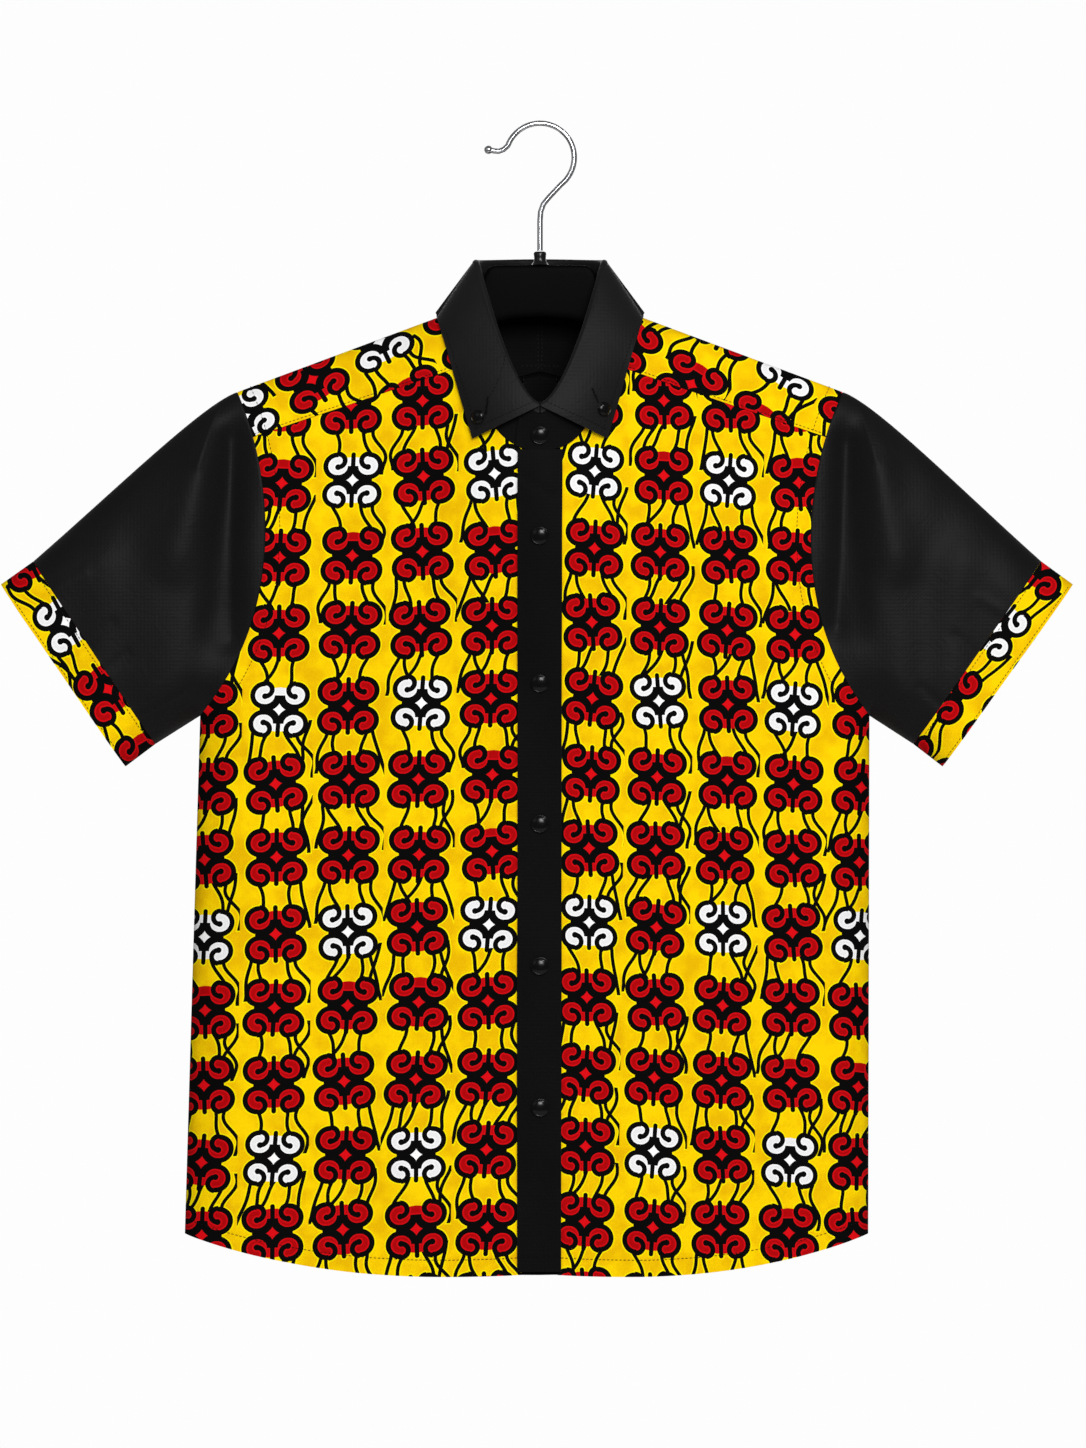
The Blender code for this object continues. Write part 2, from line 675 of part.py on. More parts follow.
def make_leaf():
    middle = leaf_middle(COLLAR_ANGLES)
    move = grid_normals(middle) * LEAF_CLOTH / 2
    inwards = -stand_ends(COLLAR_ANGLES)[3] * LEAF_CLOTH / 2
    move[:, 0] = inwards * np.sign((move[:, 0] * inwards).sum(axis=1))[:, None]
    wall("collar_leaf", middle + move, middle - move, black_cotton())


def button_mesh(name, radius):
    """A domed button with a raised rim, turned from its profile."""
    rim = 0.18 * radius
    foot = 0.55 * radius
    outline = [
        (0, BUTTON_THICKNESS * 0.92),
        (radius - 2.4 * rim, BUTTON_THICKNESS * 0.80),
        (radius - 1.4 * rim, BUTTON_THICKNESS * 0.62),
        (radius - 0.5 * rim, BUTTON_THICKNESS * 0.70),
        (radius, BUTTON_THICKNESS * 0.40),
        (foot, 0),
        (0, 0),
    ]
    profile = bpy.data.meshes.new(name)
    points = [(x, 0, z) for x, z in outline]
    edges = [(i, i + 1) for i in range(len(points) - 1)]
    profile.from_pydata(points, edges, [])
    return profile


def add_button(name, radius, place, way):
    """Places a turned button with its back on a point, facing along way."""
    obj = new_object(name, button_mesh(name, radius), black_resin(), 50)
    turn = obj.modifiers.new("turned", "SCREW")
    turn.steps = 14
    turn.render_steps = 14
    turn.use_merge_vertices = True
    turn.merge_threshold = 0.00005
    obj.rotation_mode = "QUATERNION"
    obj.rotation_quaternion = Vector(way).to_track_quat("Z", "Y")
    obj.location = Vector(place) + Vector(way) * GAP


TIP_BUTTONS = (
    ("button_tip_left", math.radians(17), 0.78),
    ("button_tip_right", 2 * math.pi - math.radians(12), 0.80),
)


def make_buttons():
    band = GAP + PLACKET_CLOTH
    for number, z in enumerate(PLACKET_BUTTONS_Z, 1):
        place, normal = lay(np.array([[[0.0, z]]]), FRONT, band)
        add_button(f"button_{number}", BUTTON_RADIUS, place[0, 0], normal[0, 0])
    foot, top, up, way = stand_ends(np.array([0.0]))
    share = (STAND_BUTTON_Z - foot[0, 2]) / (top[0, 2] - foot[0, 2])
    face = foot[0] + (top[0] - foot[0]) * share + way[0] * (1.5 * STAND_CLOTH + GAP)
    tilt = np.cross(up[0], np.cross(way[0], up[0]))
    add_button("button_stand", BUTTON_RADIUS, face, tilt / np.linalg.norm(tilt))
    for name, angle, share in TIP_BUTTONS:
        near = np.array([angle - 0.05, angle, angle + 0.05])
        middle = leaf_middle(near)
        first = FOLD_STEPS + 1
        fall = middle[:, first:]
        spot = share * FALL_STEPS
        low = int(spot)
        point = fall[1, low] * (1 - spot + low) + fall[1, low + 1] * (spot - low)
        normal = np.cross(fall[2, low] - fall[0, low], fall[1, low + 1] - fall[1, low])
        normal /= np.linalg.norm(normal)
        if normal[1] > 0:
            normal = -normal
        lifted = point + normal * (LEAF_CLOTH / 2 + 0.7 * GAP)
        add_button(name, TIP_BUTTON_RADIUS, lifted, normal)


# The hanger's outline: x from the middle, top and foot of the section, and half its thickness.
# Beyond the neck the top follows the shoulder ridge, under the cloth and its lining.
HANGER_COLUMNS = ("x", "top", "foot", "half_thickness")
HANGER_MIDDLE = (
    (0, -108.5, -149.0, 4.0),
    (22, -108.5, -150.5, 4.0),
    (36, -108.8, -154.0, 4.0),
    (40.5, -110.8, -156.0, 4.0),
    (43, -116.0, -158.0, 4.0),
    (47, -134.0, -161.0, 4.0),
    (56, -150.0, -168.0, 4.6),
)
ARM_STEPS = 8
ARM_HEIGHT = 22 * MM
ARM_HALF_THICKNESS = 4 * MM
ARM_CLEARANCE = 1.9 * MM


def hanger_sections():
    """Sections of half the hanger as dictionaries, from the middle to the tip."""
    found = []
    for row in HANGER_MIDDLE:
        found.append({key: value * MM for key, value in zip(HANGER_COLUMNS, row)})
    slope = (SHOULDER_TIP[1] - NECK_SIDE_Z) / (SHOULDER_TIP[0] - NECK_HALF_WIDTH)
    start = NECK_HALF_WIDTH + 2 * MM
    for x in np.linspace(start, HANGER_HALF_WIDTH, ARM_STEPS + 1):
        ridge = NECK_SIDE_Z + slope * (x - NECK_HALF_WIDTH)
        top = ridge - (CLOTH + GAP + LINING) / math.cos(math.atan(slope)) - ARM_CLEARANCE
        to_tip = (HANGER_HALF_WIDTH - x) / (HANGER_HALF_WIDTH - start)
        height = ARM_HEIGHT * (0.55 + 0.45 * to_tip)
        found.append(
            {"x": x, "top": top, "foot": top - height, "half_thickness": ARM_HALF_THICKNESS}
        )
    return found


def section_ring(section):
    """Eight points round one upright section of the hanger."""
    half = section["half_thickness"]
    top, foot = section["top"], section["foot"]
    bevel = 0.55 * half
    narrow = half - bevel
    ring = (
        (-narrow, top),
        (narrow, top),
        (half, top - 1.4 * bevel),
        (half, foot + bevel),
        (narrow, foot),
        (-narrow, foot),
        (-half, foot + bevel),
        (-half, top - 1.4 * bevel),
    )
    return [(section["x"], y, z) for y, z in ring]


def make_hanger():
    """The plastic hanger: a broad plate in the neck and two arms under the shoulders."""
    half = hanger_sections()
    left = [dict(section, x=-section["x"]) for section in half[:0:-1]]
    rings = [section_ring(section) for section in left + half]
    bm = bmesh.new()
    loops = [[bm.verts.new(point) for point in ring] for ring in rings]
    count = len(loops[0])
    for first, second in zip(loops[:-1], loops[1:]):
        for i in range(count):
            following = (i + 1) % count
            bm.faces.new((first[i], first[following], second[following], second[i]))
    bm.faces.new(loops[0])
    bm.faces.new(loops[-1])
    bmesh.ops.recalc_face_normals(bm, faces=bm.faces)
    mesh = bpy.data.meshes.new("hanger")
    bm.to_mesh(mesh)
    bm.free()
    new_object("hanger", mesh, black_plastic())


def make_boss():
    """The socket that grips the hook's stem."""
    outline = ((0, BOSS_TOP), (4.2, BOSS_TOP), (5.0, BOSS_TOP - 1.6 * MM), (4.6, -104 * MM))
    outline = outline + ((6.8, BOSS_FOOT), (0, BOSS_FOOT))
    mesh = bpy.data.meshes.new("hanger_boss")
    points = [(x * MM, 0, z) for x, z in outline]
    mesh.from_pydata(points, [(i, i + 1) for i in range(len(points) - 1)], [])
    obj = new_object("hanger_boss", mesh, black_plastic())
    turn = obj.modifiers.new("turned", "SCREW")
    turn.steps = 16
    turn.render_steps = 16
    turn.use_merge_vertices = True
    turn.merge_threshold = 0.00005


def make_hook():
    """The wire hook, bent round a circle, with a ball at its tip."""
    centre_z = -(HOOK_RADIUS - WIRE_RADIUS)
    path = [(x * MM, z * MM, size) for x, z, size in reversed(HOOK_TAIL)]
    for angle in np.radians(np.linspace(160, -52, 22)):
        x, z = HOOK_RADIUS * math.cos(angle), centre_z + HOOK_RADIUS * math.sin(angle)
        path.append((x, z, 1.0))
    path += [(x * MM, z * MM, 1.0) for x, z in HOOK_NECK]
    curve = bpy.data.curves.new("hanger_hook", "CURVE")
    curve.dimensions = "3D"
    curve.bevel_depth = WIRE_RADIUS
    curve.bevel_resolution = 3
    curve.use_fill_caps = True
    spline = curve.splines.new("POLY")
    spline.points.add(len(path) - 1)
    for point, (x, z, size) in zip(spline.points, path):
        point.co = (x, 0, z, 1)
        point.radius = size
    obj = bpy.data.objects.new("hanger_hook", curve)
    curve.materials.append(chromed_steel())
    bpy.data.collections["shirt_on_hanger"].objects.link(obj)


def main():
    for obj in list(bpy.data.objects):
        bpy.data.objects.remove(obj)
    shirt = bpy.data.collections.new("shirt_on_hanger")
    bpy.context.scene.collection.children.link(shirt)
    make_fronts()
    make_back()
    make_yokes()
    make_sleeves()
    make_plackets()
    make_stand()
    make_leaf()
    make_buttons()
    make_hanger()
    make_boss()
    make_hook()


main()
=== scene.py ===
# %% [markdown]
# # A printed cotton shirt on a hanger
# The shirt has black sleeves, collar and back, and its front, shoulders and cuffs are cotton
# printed with a traditional four-curl horn figure. It hangs from a plastic hanger.
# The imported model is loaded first. Every piece below is a finer one in the same place.

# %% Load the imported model
import math

import bmesh
import bpy
import numpy as np
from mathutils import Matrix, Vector


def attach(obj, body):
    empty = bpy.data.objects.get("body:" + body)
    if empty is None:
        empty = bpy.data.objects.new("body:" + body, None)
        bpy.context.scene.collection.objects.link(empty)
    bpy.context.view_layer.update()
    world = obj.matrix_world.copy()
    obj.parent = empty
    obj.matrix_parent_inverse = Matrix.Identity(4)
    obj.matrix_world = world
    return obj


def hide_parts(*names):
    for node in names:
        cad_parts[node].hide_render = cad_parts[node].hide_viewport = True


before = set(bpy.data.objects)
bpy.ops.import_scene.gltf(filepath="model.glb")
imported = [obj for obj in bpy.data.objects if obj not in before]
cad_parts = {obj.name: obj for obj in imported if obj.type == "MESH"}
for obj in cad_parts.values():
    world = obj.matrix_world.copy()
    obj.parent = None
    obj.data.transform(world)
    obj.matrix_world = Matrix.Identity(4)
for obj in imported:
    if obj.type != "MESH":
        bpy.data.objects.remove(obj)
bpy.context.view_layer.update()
MM = 0.001
GAP = 0.3 * MM

# %% [markdown]
# ## Camera, floor and light
# The photograph is taken square on with a long lens, so the camera stands well back and the
# sides stay parallel. The shirt hangs before plain white. A broad lamp in front, above and to the
# right, makes black cloth shine where it faces us and fall dark in its folds. A smaller key lamp
# puts the spark on each button, a lamp behind lights the back, and the white world fills in.

# %% Camera
PHOTO_WIDTH, PHOTO_HEIGHT = 1086, 1448
PIXEL = 0.78 * MM
# The photograph's pixel where the inside of the hook's bend lies, which is the origin.
ORIGIN_PIXEL = (540, 126)
CAMERA_DISTANCE = 8.0
SENSOR = 36
view_x = (PHOTO_WIDTH / 2 - ORIGIN_PIXEL[0]) * PIXEL
view_z = (ORIGIN_PIXEL[1] - PHOTO_HEIGHT / 2) * PIXEL
view_centre = Vector((view_x, 0, view_z))
camera_data = bpy.data.cameras.new("camera")
camera_data.sensor_fit = "AUTO"
camera_data.sensor_width = SENSOR
camera_data.lens = SENSOR * CAMERA_DISTANCE / (PHOTO_HEIGHT * PIXEL)
camera_data.clip_end = 50
camera = bpy.data.objects.new("camera", camera_data)
camera.location = view_centre + Vector((0, -CAMERA_DISTANCE, 0))
camera.rotation_euler = (math.pi / 2, 0, 0)
bpy.context.scene.collection.objects.link(camera)
bpy.context.scene.camera = camera
bpy.context.scene.view_settings.view_transform = "Standard"
print("lens in mm:", round(camera_data.lens, 1))


# %% Colours and nodes
def linear(code, alpha=1.0):
    """An sRGB hex colour as the linear numbers that Blender works in."""
    values = [int(code[i : i + 2], 16) / 255 for i in (1, 3, 5)]
    values = [v / 12.92 if v <= 0.04045 else ((v + 0.055) / 1.055) ** 2.4 for v in values]
    return (*values, alpha)


def add(tree, kind, inputs=None, **settings):
    """Adds a node. Inputs are set by name or number, to a value or to another node's socket."""
    node = tree.nodes.new(kind)
    for name, value in settings.items():
        setattr(node, name, value)
    for key, value in (inputs or {}).items():
        if isinstance(value, bpy.types.NodeSocket):
            tree.links.new(value, node.inputs[key])
        else:
            node.inputs[key].default_value = value
    return node


# %% World, floor and lamps
world = bpy.data.worlds.new("white studio")
world.use_nodes = True
world.node_tree.nodes.clear()
sight = add(world.node_tree, "ShaderNodeLightPath")
seen = add(world.node_tree, "ShaderNodeBackground", {0: linear("#FDFDFD"), 1: 1.0})
lit = add(world.node_tree, "ShaderNodeBackground", {0: linear("#FFFFFF"), 1: 0.20})
both = add(
    world.node_tree,
    "ShaderNodeMixShader",
    {0: sight.outputs["Is Camera Ray"], 1: lit.outputs[0], 2: seen.outputs[0]},
)
add(world.node_tree, "ShaderNodeOutputWorld", {0: both.outputs[0]})
bpy.context.scene.world = world

LAMP_COLUMNS = ("name", "x", "y", "z", "size", "watts")
LAMPS = (
    ("key", 1.1, -2.0, 1.1, 0.3, 12),
    ("front", 0.4, -3.3, 0.7, 1.2, 84),
    ("fill", -1.8, -1.9, 0.5, 1.2, 3),
    ("behind", 0.0, 3.2, 0.4, 2.4, 44),
)
for row in LAMPS:
    lamp = dict(zip(LAMP_COLUMNS, row))
    light = bpy.data.lights.new(lamp["name"], "AREA")
    light.energy = lamp["watts"]
    light.size = lamp["size"]
    lamp_object = bpy.data.objects.new(lamp["name"], light)
    lamp_object.location = (lamp["x"], lamp["y"], lamp["z"])
    lamp_object.visible_camera = False
    way = view_centre - lamp_object.location
    lamp_object.rotation_euler = way.to_track_quat("-Z", "Y").to_euler()
    bpy.context.scene.collection.objects.link(lamp_object)
print("lamps:", [row[0] for row in LAMPS])

FLOOR_RADIUS, FLOOR_Z = 1.15, -1.27
floor_mesh = bpy.data.meshes.new("floor")
shaper = bmesh.new()
bmesh.ops.create_circle(shaper, cap_ends=True, segments=96, radius=FLOOR_RADIUS)
bmesh.ops.translate(shaper, verts=shaper.verts, vec=(0, 0, FLOOR_Z))
shaper.to_mesh(floor_mesh)
shaper.free()
floor = bpy.data.objects.new("floor", floor_mesh)
floor_paint = bpy.data.materials.new("matt white paint")
floor_paint.use_nodes = True
floor_shader = floor_paint.node_tree.nodes["Principled BSDF"]
floor_shader.inputs["Base Color"].default_value = linear("#F2F1EF")
floor_shader.inputs["Roughness"].default_value = 0.9
floor_mesh.materials.append(floor_paint)
bpy.context.scene.collection.objects.link(floor)

# %% [markdown]
# ## The form that the cloth lies on
# Seen from the front, the cloth folds over at the shoulder ridge, the side seams and the sleeve's
# under edge. Away from those lines front and back part along a quarter ellipse. Every panel is a
# grid of points in the front view, laid on this one form, so neighbours meet at their seams. The
# sizes are the source's own, with many more rows. The largest folds are soft ridges and troughs.

# %% Sizes of the shirt
FRONT = -1
BACK = 1
CLOTH = 1.2 * MM
LINING = 1.0 * MM
CUFF_CLOTH = 1.6 * MM
PLACKET_CLOTH = 1.5 * MM
STAND_CLOTH = 2.0 * MM
LEAF_CLOTH = 1.6 * MM
ROUNDING = 40 * MM
SHOULDER_DEPTH = 14 * MM
BODY_DEPTH = 24 * MM
NECK_EXTRA_DEPTH = 28 * MM
NECK_SPREAD = 95 * MM
NECK_FADE = 160 * MM
NECK_LEVEL = -240 * MM
DEPTH_FROM = 200 * MM
DEPTH_OVER = 160 * MM
NECK_HALF_WIDTH = 68 * MM
NECK_FRONT_Z = -253 * MM
NECK_SIDE_Z = -145 * MM
NECK_BACK_Z = -143 * MM
NECK_ROUNDNESS = 2.8
SHOULDER_NECK = (NECK_HALF_WIDTH, NECK_SIDE_Z)
SHOULDER_TIP = (236 * MM, -207.5 * MM)
UNDERARM = (261 * MM, -460 * MM)
HEM_CORNER = (266.5 * MM, -863.5 * MM)
CUFF_SEAM_TOP = (393 * MM, -339.5 * MM)
CUFF_SEAM_FOOT = (295.5 * MM, -482 * MM)
CUFF_TOP = (418 * MM, -357.5 * MM)
CUFF_FOOT = (318.5 * MM, -499.5 * MM)
ARMHOLE_CURVE = (SHOULDER_TIP, (208 * MM, -268 * MM), (192 * MM, -378 * MM), UNDERARM)
SLEEVE_TOP_CURVE = (SHOULDER_TIP, (262 * MM, -216 * MM), (330 * MM, -284 * MM), CUFF_SEAM_TOP)
HEM_CENTRE_Z = -892.5 * MM
HEM_CURVES = {
    FRONT: ((0, HEM_CENTRE_Z), (0.35, -899 * MM), (0.65, -896.5 * MM), (1, HEM_CORNER[1])),
    BACK: ((0, -897.5 * MM), (0.35, -896.5 * MM), (0.65, -895.5 * MM), (1, HEM_CORNER[1])),
}
YOKE_NECK_Z = -187 * MM
YOKE_BACK_Z = -187 * MM
PLEAT_HALF_WIDTH = 13 * MM
PLEAT_EDGE = 3.5 * MM
PLEAT_RAISE = 3 * MM
PLEAT_FOOT_Z = -460 * MM
PLACKET_HALF_WIDTH = 17.2 * MM
FRONT_EDGE = 14 * MM
CHEST_Z = -430 * MM
SWAY = 10.5 * MM
FOLD_HALF_WIDTH = 50 * MM
FOLD_FRONT_Y = 48 * MM
FOLD_BACK_Y = 38 * MM
FOLD_FRONT_Z = -218 * MM
FOLD_SIDE_Z = -105 * MM
FOLD_BACK_Z = -103 * MM
FOLD_ROUNDNESS = 1.65
FOLD_RADIUS = 2 * MM
LEAF_LEG = 6 * MM
STAND_HEIGHT = 33 * MM
STAND_OVERLAP = 19 * MM
LEAF_TIP = (52 * MM, -245.5 * MM)
LEAF_SIDE = (81 * MM, -146 * MM)
LEAF_BACK_Y = 56 * MM
LEAF_BACK_Z = -150 * MM
LEAF_BULGE_FRONT = 4.5 * MM
LEAF_BULGE_BACK = 0 * MM
LEAF_REST = 3 * MM
LEAF_START = math.radians(0.6)
BUTTON_RADIUS = 7 * MM
TIP_BUTTON_RADIUS = 5.5 * MM
BUTTON_THICKNESS = 3.2 * MM
PLACKET_BUTTONS_Z = (-320 * MM, -434.5 * MM, -544 * MM, -654.5 * MM, -764.5 * MM)
STAND_BUTTON_Z = -242.5 * MM
FOLD_COLUMNS = ("face", "x0", "z0", "x1", "z1", "width", "height")
FOLDS = (
    (FRONT, 254, -226, 283, -350, 17, 4.5),
    (FRONT, 240, -232, 252, -400, 12, -4.5),
    (FRONT, 330, -330, 322, -440, 24, 2.5),
    (FRONT, 225, -470, 205, -800, 30, 3.0),
    (FRONT, 150, -420, 165, -880, 34, -2.5),
    (FRONT, 90, -560, 84, -890, 26, 2.5),
    (BACK, 256, -228, 280, -352, 18, 4.5),
    (BACK, 238, -236, 250, -396, 13, -4.5),
    (BACK, 318, -340, 330, -430, 24, 3.0),
    (BACK, 214, -480, 222, -820, 30, 3.5),
    (BACK, 130, -380, 142, -885, 36, -3.5),
    (BACK, 62, -470, 66, -890, 28, 3.5),
)
# How fast the back yoke's seam drops towards the armhole.
YOKE_SEAM_SLOPE = -0.251

# Rows and columns of the fine grids.
ARMHOLE_STEPS = 110
YOKE_STEP = 30
BODY_ROWS = 76
NECK_ROWS = 22
print("chest in mm, laid flat:", round(2 * UNDERARM[0] / MM))


# %% The form
def smooth(share):
    """0 to 1 with soft ends."""
    t = np.clip(share, 0, 1)
    return t * t * (3 - 2 * t)


def bezier(points, t):
    """Points of a cubic curve in the front view, one for each t."""
    t = np.asarray(t, float)[..., None]
    a, b, c, d = (np.array(p, float) for p in points)
    return (1 - t) ** 3 * a + 3 * (1 - t) ** 2 * t * b + 3 * (1 - t) * t * t * c + t**3 * d


def between(a, b, share):
    """Points on the straight line from a to b, one for each share."""
    share = np.asarray(share, float)[..., None]
    return np.array(a, float) * (1 - share) + np.array(b, float) * share


# Fold lines of the viewer's right half: the top edge, and the side seam with the sleeve's foot.
SLEEVE_TOP_POINTS = 40
FOLD_LINES = (
    np.vstack(
        [
            [SHOULDER_NECK],
            bezier(SLEEVE_TOP_CURVE, np.linspace(0, 1, SLEEVE_TOP_POINTS)),
            [CUFF_TOP],
        ]
    ),
    np.array([HEM_CORNER, UNDERARM, CUFF_SEAM_FOOT, CUFF_FOOT]),
)


def fold_distance(points):
    """Distance of each front-view point to the nearest fold line, and the way to it."""
    halved = np.column_stack([np.abs(points[:, 0]), points[:, 1]])
    best = np.full(len(halved), np.inf)
    away = np.zeros_like(halved)
    for line, inner_side in zip(FOLD_LINES, (1, -1)):
        for start, end in zip(line[:-1], line[1:]):
            along = end - start
            share = np.clip((halved - start) @ along / (along @ along), 0, 1)
            offset = halved - (start + share[:, None] * along)
            distance = np.linalg.norm(offset, axis=1)
            nearer = distance < best - 1e-9
            # On the line itself the way in is across the line.
            inwards = inner_side * np.array([along[1], -along[0]]) / np.linalg.norm(along)
            far = distance[:, None] > 0.2 * MM
            unit = np.where(far, offset / np.maximum(distance, 1e-7)[:, None], inwards)
            best = np.where(nearer, distance, best)
            away = np.where(nearer[:, None], unit, away)
    away[:, 0] *= np.where(points[:, 0] < 0, -1, 1)
    return best, away


def from_segment(points, row):
    """Share of the way along a row's segment, and the distance from it counted in its widths."""
    start = np.array([row["x0"], row["z0"]]) * MM
    along = np.array([row["x1"], row["z1"]]) * MM - start
    share = (points - start) @ along / (along @ along)
    offset = points - (start + np.clip(share, 0, 1)[:, None] * along)
    return share, np.linalg.norm(offset, axis=1) / (row["width"] * MM)


def soft_folds(points, face):
    """How far the large folds lift the cloth at each point."""
    lift = np.zeros(len(points))
    halved = np.column_stack([np.abs(points[:, 0]), points[:, 1]])
    for row in FOLDS:
        fold = dict(zip(FOLD_COLUMNS, row))
        if fold["face"] != face:
            continue
        share, spread = from_segment(halved, fold)
        ends = smooth((share + 0.15) / 0.3) * smooth((1.15 - share) / 0.3)
        lift += fold["height"] * MM * np.exp(-spread * spread) * ends
    return lift


# %% [markdown]
# Hung cotton is never quite smooth. The creases are given one by one: a deep trough beside each
# armhole, a sharp ridge at the sleeve's crown, pulls at the cuffs. Small ripples run down from
# the shoulders: a few sine waves of odd lengths, crossing each other, under a millimetre high.

# %% Creases and small ripples
CREASE_COLUMNS = ("x0", "z0", "x1", "z1", "width", "height", "power")
FRONT_CREASES = (
    # Viewer's left sleeve: crest, valley beside the seam, crown ridge, pulls near the cuff.
    (-268, -255, -290, -455, 22, 4.0, 2.0),
    (-241, -245, -237, -400, 13, -7.5, 1.6),
    (-251, -217, -265, -266, 2.4, 1.6, 1.5),
    (-318, -466, -271, -441, 1.6, -0.9, 1.5),
    (-352, -404, -330, -388, 5, -0.9, 2.0),
    (-338, -428, -318, -412, 4, -0.7, 2.0),
    (-375, -362, -352, -350, 5, 0.8, 2.0),
    # Viewer's right sleeve.
    (266, -250, 286, -440, 20, 3.6, 2.0),
    (239, -248, 234, -390, 12, -7.0, 1.6),
    (250, -219, 262, -262, 2.4, 1.4, 1.5),
    (316, -452, 300, -438, 4, -0.8, 2.0),
    (345, -415, 326, -398, 5, -0.9, 2.0),
    (362, -378, 344, -368, 4, 0.7, 2.0),
    # Body: long soft pulls, and short ones under the yoke and at the underarm.
    (-232, -480, -216, -560, 7, -1.2, 2.0),
    (230, -470, 213, -545, 8, -1.3, 2.0),
    (-196, -246, -188, -330, 9, -0.9, 2.0),
    (186, -242, 192, -318, 8, -0.8, 2.0),
    (-120, -640, -128, -870, 13, 1.0, 2.0),
    (118, -600, 112, -880, 14, -1.0, 2.0),
    # Placket.
    (-16, -273, 12, -291, 1.8, -0.9, 1.5),
)


def creases(points, rows):
    """Height of the listed creases at each front-view point."""
    height = np.zeros(len(points))
    for row in rows:
        crease = dict(zip(CREASE_COLUMNS, row))
        _, spread = from_segment(points, crease)
        height += crease["height"] * MM * np.exp(-(spread ** crease["power"]))
    return height


RIPPLE_COLUMNS = ("across", "down", "start", "height")
RIPPLES = (
    (61, 410, 0.3, 0.55),
    (-83, 290, 1.9, 0.45),
    (37, -350, 4.1, 0.28),
    (140, 120, 2.2, 0.40),
    (-52, 95, 5.3, 0.22),
)


def ripples(points, face):
    """Height of the small ripples at each front-view point."""
    height = np.zeros(len(points))
    for row in RIPPLES:
        wave = dict(zip(RIPPLE_COLUMNS, row))
        phase = points[:, 0] / (wave["across"] * MM) + points[:, 1] / (wave["down"] * MM)
        height += wave["height"] * MM * np.sin(phase * 2 * math.pi + wave["start"] * face)
    return height


print("creases:", len(FRONT_CREASES), "ripples:", len(RIPPLES))


# %% Depth and normals
def depth(points, face):
    """How far the form stands from y = 0 at each front-view point."""
    x, z = points[:, 0], points[:, 1]
    distance, _ = fold_distance(points)
    inside = np.clip(1 - distance / ROUNDING, 0, 1)
    round_off = np.sqrt(1 - inside * inside)
    full = SHOULDER_DEPTH + (BODY_DEPTH - SHOULDER_DEPTH) * smooth((-z - DEPTH_FROM) / DEPTH_OVER)
    below = np.maximum(0, NECK_LEVEL - z) / NECK_FADE
    full = full + NECK_EXTRA_DEPTH * np.exp(-((x / NECK_SPREAD) ** 2) - below * below)
    lift = soft_folds(points, face) + ripples(points, face)
    if face == FRONT:
        lift += creases(points, FRONT_CREASES)
    if face == BACK:
        side = 1 - smooth((np.abs(x) - PLEAT_HALF_WIDTH) / PLEAT_EDGE)
        down = 1 - smooth((YOKE_BACK_Z - z) / (YOKE_BACK_Z - PLEAT_FOOT_Z))
        under_yoke = z < YOKE_BACK_Z + YOKE_SEAM_SLOPE * np.abs(x) - 3.3 * MM
        lift = lift + PLEAT_RAISE * side * down * under_yoke
    return (full + lift) * round_off


def outward(points, face):
    """Unit normals of the form, pointing out of the shirt, at front-view points."""
    nudge = 0.3 * MM
    step = 0.1 * MM
    distance, away = fold_distance(points)
    near = np.maximum(0, nudge - distance)[:, None]
    base = points + away * near
    slope = np.empty_like(points)
    for axis in (0, 1):
        move = np.zeros(2)
        move[axis] = step
        slope[:, axis] = (depth(base + move, face) - depth(base - move, face)) / (2 * step)
    normal = np.column_stack([-slope[:, 0], np.full(len(points), float(face)), -slope[:, 1]])
    normal /= np.linalg.norm(normal, axis=1)[:, None]
    # On a fold line the normal lies in the front view's plane.
    flat = np.column_stack([-away[:, 0], np.zeros(len(points)), -away[:, 1]])
    share = np.clip(distance / nudge, 0, 1)[:, None]
    normal = flat * (1 - share) + normal * share
    return normal / np.linalg.norm(normal, axis=1)[:, None]


def lay(grid, face, lift=0.0):
    """Lays a grid of front-view points on the form, moved out by lift. face is one for all
    points, or one for each row of the grid."""
    shape = grid.shape[:2]
    faces = np.broadcast_to(np.asarray(face), (shape[0],))
    laid = np.empty((*shape, 3))
    normals = np.empty((*shape, 3))
    for row in range(shape[0]):
        points = grid[row]
        y = faces[row] * depth(points, faces[row])
        normals[row] = outward(points, faces[row])
        laid[row] = np.column_stack([points[:, 0], y, points[:, 1]])
    return laid + normals * lift, normals


def hang(points):
    """Leans the hanging cloth towards the viewer's left, most at the hem."""
    drop = np.clip((SHOULDER_TIP[1] - points[..., 2]) / (SHOULDER_TIP[1] - HEM_CORNER[1]), 0, 1)
    out = np.clip(np.abs(points[..., 0]) / UNDERARM[0], 0, 1)
    hung = points.copy()
    hung[..., 0] -= SWAY * drop * out
    return hung


# %% [markdown]
# ## Cloth pieces
# A piece is a wall between two grids: its outer face, and that face moved in by the cloth's
# thickness. Printed pieces carry a UV map called print, counted in cells of the pattern, so the
# figures follow the cloth over the shoulder.

# %% Make a piece of cloth
def piece(name, mesh, finish, nodes=(), sharp=40):
    """A finished piece: it rides on the hanger's body and stands for its source nodes."""
    made = bpy.data.objects.new(name, mesh)
    mesh.materials.clear()
    mesh.materials.append(finish)
    mesh.shade_smooth()
    mesh.set_sharp_from_angle(angle=math.radians(sharp))
    bpy.context.scene.collection.objects.link(made)
    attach(made, "root")
    if nodes:
        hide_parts(*nodes)
    return made


